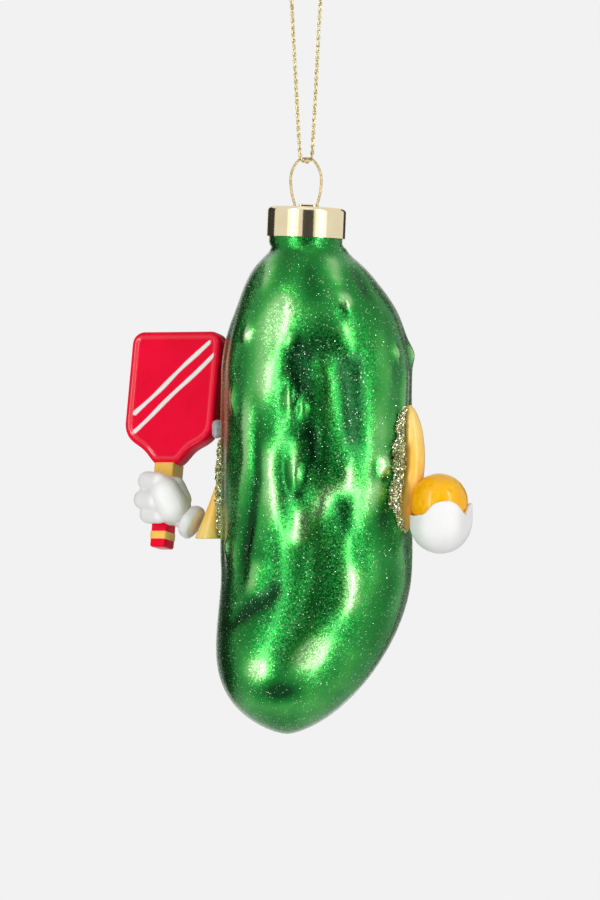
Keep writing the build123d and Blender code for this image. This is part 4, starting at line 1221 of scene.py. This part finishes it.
# %% Cupped glove
BALL_MIDDLE = Vector((29.35, -9.5, -121.0))
BALL_RADIUS = 6.3
PALM_MIDDLE = Vector((29.6, -9.5, -125.6))
PALM_RADIUS = 6.8
CUP_COLUMNS = 180
CUP_ROWS = 60
INNER_ROWS = 30
# Angle and height of places along the rim
RIM_TURNS = (-180, -125, -95, -67, -32, -20, -6, 18, 31, 43, 56, 66, 76, 88, 102, 130, 180)
RIM_LEVELS = (-122.4, -122.9, -123.9, -124.2, -123.8, -122.1, -121.1, -120.8, -121.4, -122.7, -124.3,
              -123.2, -121.5, -121.2, -122.6, -123.0, -122.4)
cup_turns = np.array(turns_round(CUP_COLUMNS)) - pi
rim_levels = np.interp(np.degrees(cup_turns), RIM_TURNS, RIM_LEVELS)
for _ in range(12):
    rim_levels = (np.roll(rim_levels, 1) + 2 * rim_levels + np.roll(rim_levels, -1)) / 4
flutes = np.cos(9 * cup_turns + 0.4) + 0.5 * np.cos(5 * cup_turns)
thumb = np.exp(-((np.degrees(cup_turns) - 82) / 11) ** 2)
cup_rings = []


def cup_ring(radius, level, middle):
    """One ring of the bowl. Radius and level may change along it."""
    return np.stack([middle.x + radius * np.sin(cup_turns), middle.y - radius * np.cos(cup_turns), level],
                    axis=-1)


def ball_reach(radius, over):
    """Half the width of a ball at a height over its middle."""
    return np.sqrt(np.maximum(radius ** 2 - over ** 2, 0.0))


bottom = PALM_MIDDLE.z - PALM_RADIUS
for row in range(CUP_ROWS):
    share = (row + 0.4) / (CUP_ROWS - 0.6)
    level = bottom + (rim_levels - bottom) * share ** 2
    over = level - PALM_MIDDLE.z
    radius = ball_reach(PALM_RADIUS, np.minimum(over, 0)) - 0.03 * np.maximum(over, 0)
    radius = radius + 0.05 * flutes * ease((share - 0.35) / 0.4) + 0.35 * thumb * ease((share - 0.6) / 0.3)
    cup_rings.append(cup_ring(radius, level, PALM_MIDDLE))
inner_radius = BALL_RADIUS + 0.05
rim_reach = radius
inner_reach = ball_reach(inner_radius, rim_levels - BALL_MIDDLE.z)
for share, lift in ((0.2, 0.13), (0.5, 0.18), (0.8, 0.13)):
    cup_rings.append(cup_ring(rim_reach + (inner_reach - rim_reach) * share, rim_levels + lift,
                              PALM_MIDDLE.lerp(BALL_MIDDLE, share)))
low = BALL_MIDDLE.z - inner_radius
for row in range(INNER_ROWS):
    share = 1 - (1 - row / (INNER_ROWS + 0.4)) ** 2
    level = rim_levels + (low - rim_levels) * share
    cup_rings.append(cup_ring(ball_reach(inner_radius, level - BALL_MIDDLE.z), level, BALL_MIDDLE))
cup_faces = tube_faces(len(cup_rings), CUP_COLUMNS)
cup = new_piece("ball_glove_white", np.concatenate(cup_rings) * MM, cup_faces, glove_white)
settle(cup, "pickle", "glove_white", "ball_glove")

# %% [markdown]
# ## The ball
# The ball is cast with small pits and then painted glossy orange. Seen close, each pit has its own small
# highlight. A fine ball is pressed in around points that are spread evenly by the golden angle.

# %% Ball
PIT_COUNT = 40
PIT_WIDTH = 0.62
PIT_DEPTH = 0.12
GOLDEN_ANGLE = radians(137.508)
shape = bmesh.new()
bmesh.ops.create_icosphere(shape, subdivisions=6, radius=1.0)
directions = np.array([vertex.co.normalized() for vertex in shape.verts])
reach = np.full(len(directions), BALL_RADIUS)
for n in range(PIT_COUNT):
    up = 1 - 2 * (n + 0.5) / PIT_COUNT
    turn = n * GOLDEN_ANGLE
    pit = np.array([sqrt(1 - up * up) * cos(turn), sqrt(1 - up * up) * sin(turn), up])
    away = np.arccos(np.clip(directions @ pit, -1, 1)) * BALL_RADIUS
    reach -= PIT_DEPTH * np.exp(-(away / PIT_WIDTH) ** 4)
ball_faces = [[vertex.index for vertex in face.verts] for face in shape.faces]
shape.free()
ball_points = (np.array(BALL_MIDDLE) + directions * reach[:, None]) * MM
ball = new_piece("ball_orange", ball_points, ball_faces, ball_orange)
settle(ball, "pickle", "ball_orange", "ball")

# %% [markdown]
# ## Arms
# Both arms are half-round sleeves glued to the glass. Each is one tube of ellipses that swells and
# bends along its length, and its inner side disappears into the glass.

# %% Arms
ARM_DEPTH_RATIO = 1.3
BALL_ARM_TOP = -99.6
BALL_ARM_LENGTH = 28.4
BALL_ARM_HALF = 2.6
PADDLE_ARM_TOP = -113.1
PADDLE_ARM_LENGTH = 15.9
PADDLE_ARM_HALF = 3.05


def ball_arm_at(share):
    """Middle and size of the ball arm's section, from its top (0) to its end (1)."""
    swell = (1 - abs(2 * share - 1) ** 3.2) ** 0.55
    across = 22.75 + 0.9 * sin(pi * min(share * 1.25, 1)) - 1.1 * float(ease((share - 0.45) / 0.55))
    return across, -7.3, BALL_ARM_TOP - BALL_ARM_LENGTH * share, BALL_ARM_HALF * swell


def paddle_arm_at(share):
    """Middle and size of the paddle arm's section: a wedge that widens to the elbow."""
    size = PADDLE_ARM_HALF * (0.08 + 0.92 * share ** 1.35)
    across = -18.7 - 2.9 * share ** 1.1
    back = 1.2 + 3.2 * float(ease(share))
    return across, back, PADDLE_ARM_TOP - PADDLE_ARM_LENGTH * share, size


def arm_piece(name, arm_at, material, end_round=0.0, rows=90, columns=56):
    """A sleeve as a tube of ellipses. A cut end gets a small rounded edge."""
    sections = [arm_at(0.002 + 0.996 * (0.5 - 0.5 * cos(pi * row / (rows - 1)))) for row in range(rows)]
    x, y, z, size = sections[-1]
    if end_round:
        sections += [(x, y, z - end_round * sin(turn), size - end_round * (1 - cos(turn)))
                     for turn in (0.3, 0.6, 0.9, 1.2, 0.5 * pi)]
        sections.append((x, y, z - end_round, size * 0.5))
    points = []
    for x, y, z, size in sections:
        for angle in turns_round(columns):
            points.append(Vector((x + size * cos(angle), y - size * ARM_DEPTH_RATIO * sin(angle), z)) * MM)
    return new_piece(name, points, tube_faces(len(sections), columns), material)


settle(arm_piece("ball_arm_sleeve", ball_arm_at, sleeve_yellow), "pickle", "sleeve_yellow", "ball_arm")
paddle_arm = arm_piece("paddle_arm_sleeve", paddle_arm_at, sleeve_yellow, end_round=0.3)
settle(paddle_arm, "pickle", "sleeve_yellow", "paddle_arm")

# %% [markdown]
# ## Glitter beads
# The joints between arms and glass are dressed with a bead of glue full of coarse gold and silver
# glitter. The bead is a lumpy tube that follows the arm's edge on the skin. The glitter tree from above
# covers it with larger flakes at all angles.

# %% Glitter beads
glue_olive, tree, shader = new_finish("glue_olive", Metallic=0.5, Roughness=0.4)
grit = noise(tree, 1500.0, detail=4.0)
link(shader, Base_Color=ramp(tree, grit, (0.35, (0.03, 0.03, 0.01)), (0.65, (0.24, 0.25, 0.09))),
     Normal=bump(tree, grit, 0.2 * MM))
flake_gold = flake_finish("flake_gold", (0.0, (0.14, 0.13, 0.04)), (0.35, (0.48, 0.49, 0.22)),
                          (0.7, (0.82, 0.83, 0.54)), (1.0, (0.98, 0.98, 0.88)))


def skin_front(across, level):
    """How far forward the skin lies at one place across, in millimetres."""
    depth = NECK_FOOT.z - level
    angle = front_angle(across, depth)
    return float(skin_points(np.array([depth]), np.array([angle]))[0][1])


def skin_left(back, level):
    """How far left the skin lies at one depth into the view."""
    depth = NECK_FOOT.z - level
    aside = (back - centre_back(depth)) / (half_width(depth) * DEPTH_RATIO)
    return float(centre_across(depth) - half_width(depth) * np.sqrt(1 - aside * aside))


BALL_BEAD_HALF = 1.6
PADDLE_BEAD_HALF = 1.1
BEAD_DRIFT = 0.9


def ball_bead_at(share):
    """Middle and size of the bead along the ball arm's front edge."""
    x, y, z, size = ball_arm_at(share)
    thick = BALL_BEAD_HALF * (0.12 + 0.88 * sin(pi * share) ** 0.5)
    thick *= 1 + 0.16 * sin(19 * share + 0.5) + 0.10 * sin(43 * share)
    across = x - size - thick * 0.55 + BEAD_DRIFT * float(ease((share - 0.65) / 0.25))
    return across, skin_front(across, z) - 0.15, z, thick


def paddle_bead_at(share):
    """The same along the paddle arm, which lies on the pickle's side."""
    x, y, z, size = paddle_arm_at(0.98 * share)
    z += 6.0 * (1 - share)
    thick = PADDLE_BEAD_HALF * (0.15 + 0.85 * sin(pi * share) ** 0.5)
    thick *= 1 + 0.14 * sin(23 * share) + 0.08 * sin(51 * share)
    back = y - size * ARM_DEPTH_RATIO - thick * 0.6
    return skin_left(back, z) - 0.2, back, z, thick


def bead(name, bead_at, body_node, seed, rows=120, columns=24):
    """A lumpy bead of glue and its cover of coarse flakes."""
    points = []
    for row in range(rows):
        x, y, z, size = bead_at(0.01 + 0.98 * row / (rows - 1))
        for turn in turns_round(columns):
            angle = -turn
            lump = size * (1 + 0.10 * sin(3 * angle + 0.9 * row) + 0.08 * sin(0.55 * row + 2 * angle))
            points.append(Vector((x + lump * cos(angle), y + lump * sin(angle), z)) * MM)
    faces = tube_faces(rows, columns)
    glue = new_piece(name + "_glue", points, faces, glue_olive)
    settle(glue, "pickle", "gold_glitter", body_node)
    flakes = new_piece(name + "_flakes", points, faces, flake_gold, smooth=False)
    run_tree(flakes, flake_tree, Density=1.25e7, Seed=seed, Smallest=0.15 * MM, Largest=0.36 * MM, Tilt=0.8,
             Thickness=0.18, Finish=flake_gold)
    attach(flakes, "pickle")
    print(name, "flakes", len(flakes.data.polygons) // 6)


bead("ball_arm_glitter_bead", ball_bead_at, "ball_arm_glitter", 3)
bead("paddle_arm_glitter_bead", paddle_bead_at, "paddle_arm_glitter", 8)

# %% [markdown]
# ## The dab of glue
# A dab of clear glue holds the blade's edge to the glass. It has set cloudy, with small bubbles.

# %% Glue dab
glue_clear, tree, shader = new_finish("glue_clear", Roughness=0.25, Transmission_Weight=0.45, IOR=1.47)
bubbles = noise(tree, 1400.0, detail=3.0)
link(shader, Base_Color=ramp(tree, bubbles, (0.3, (0.50, 0.51, 0.53)), (0.7, (0.74, 0.75, 0.76))),
     Normal=bump(tree, bubbles, 0.06 * MM))
dab = smooth_copy("paddle_glue_dab", "paddle_glue_dab_clear", glue_clear, 50.0)
settle(dab, "pickle", "clear_glue", "paddle_glue_dab")
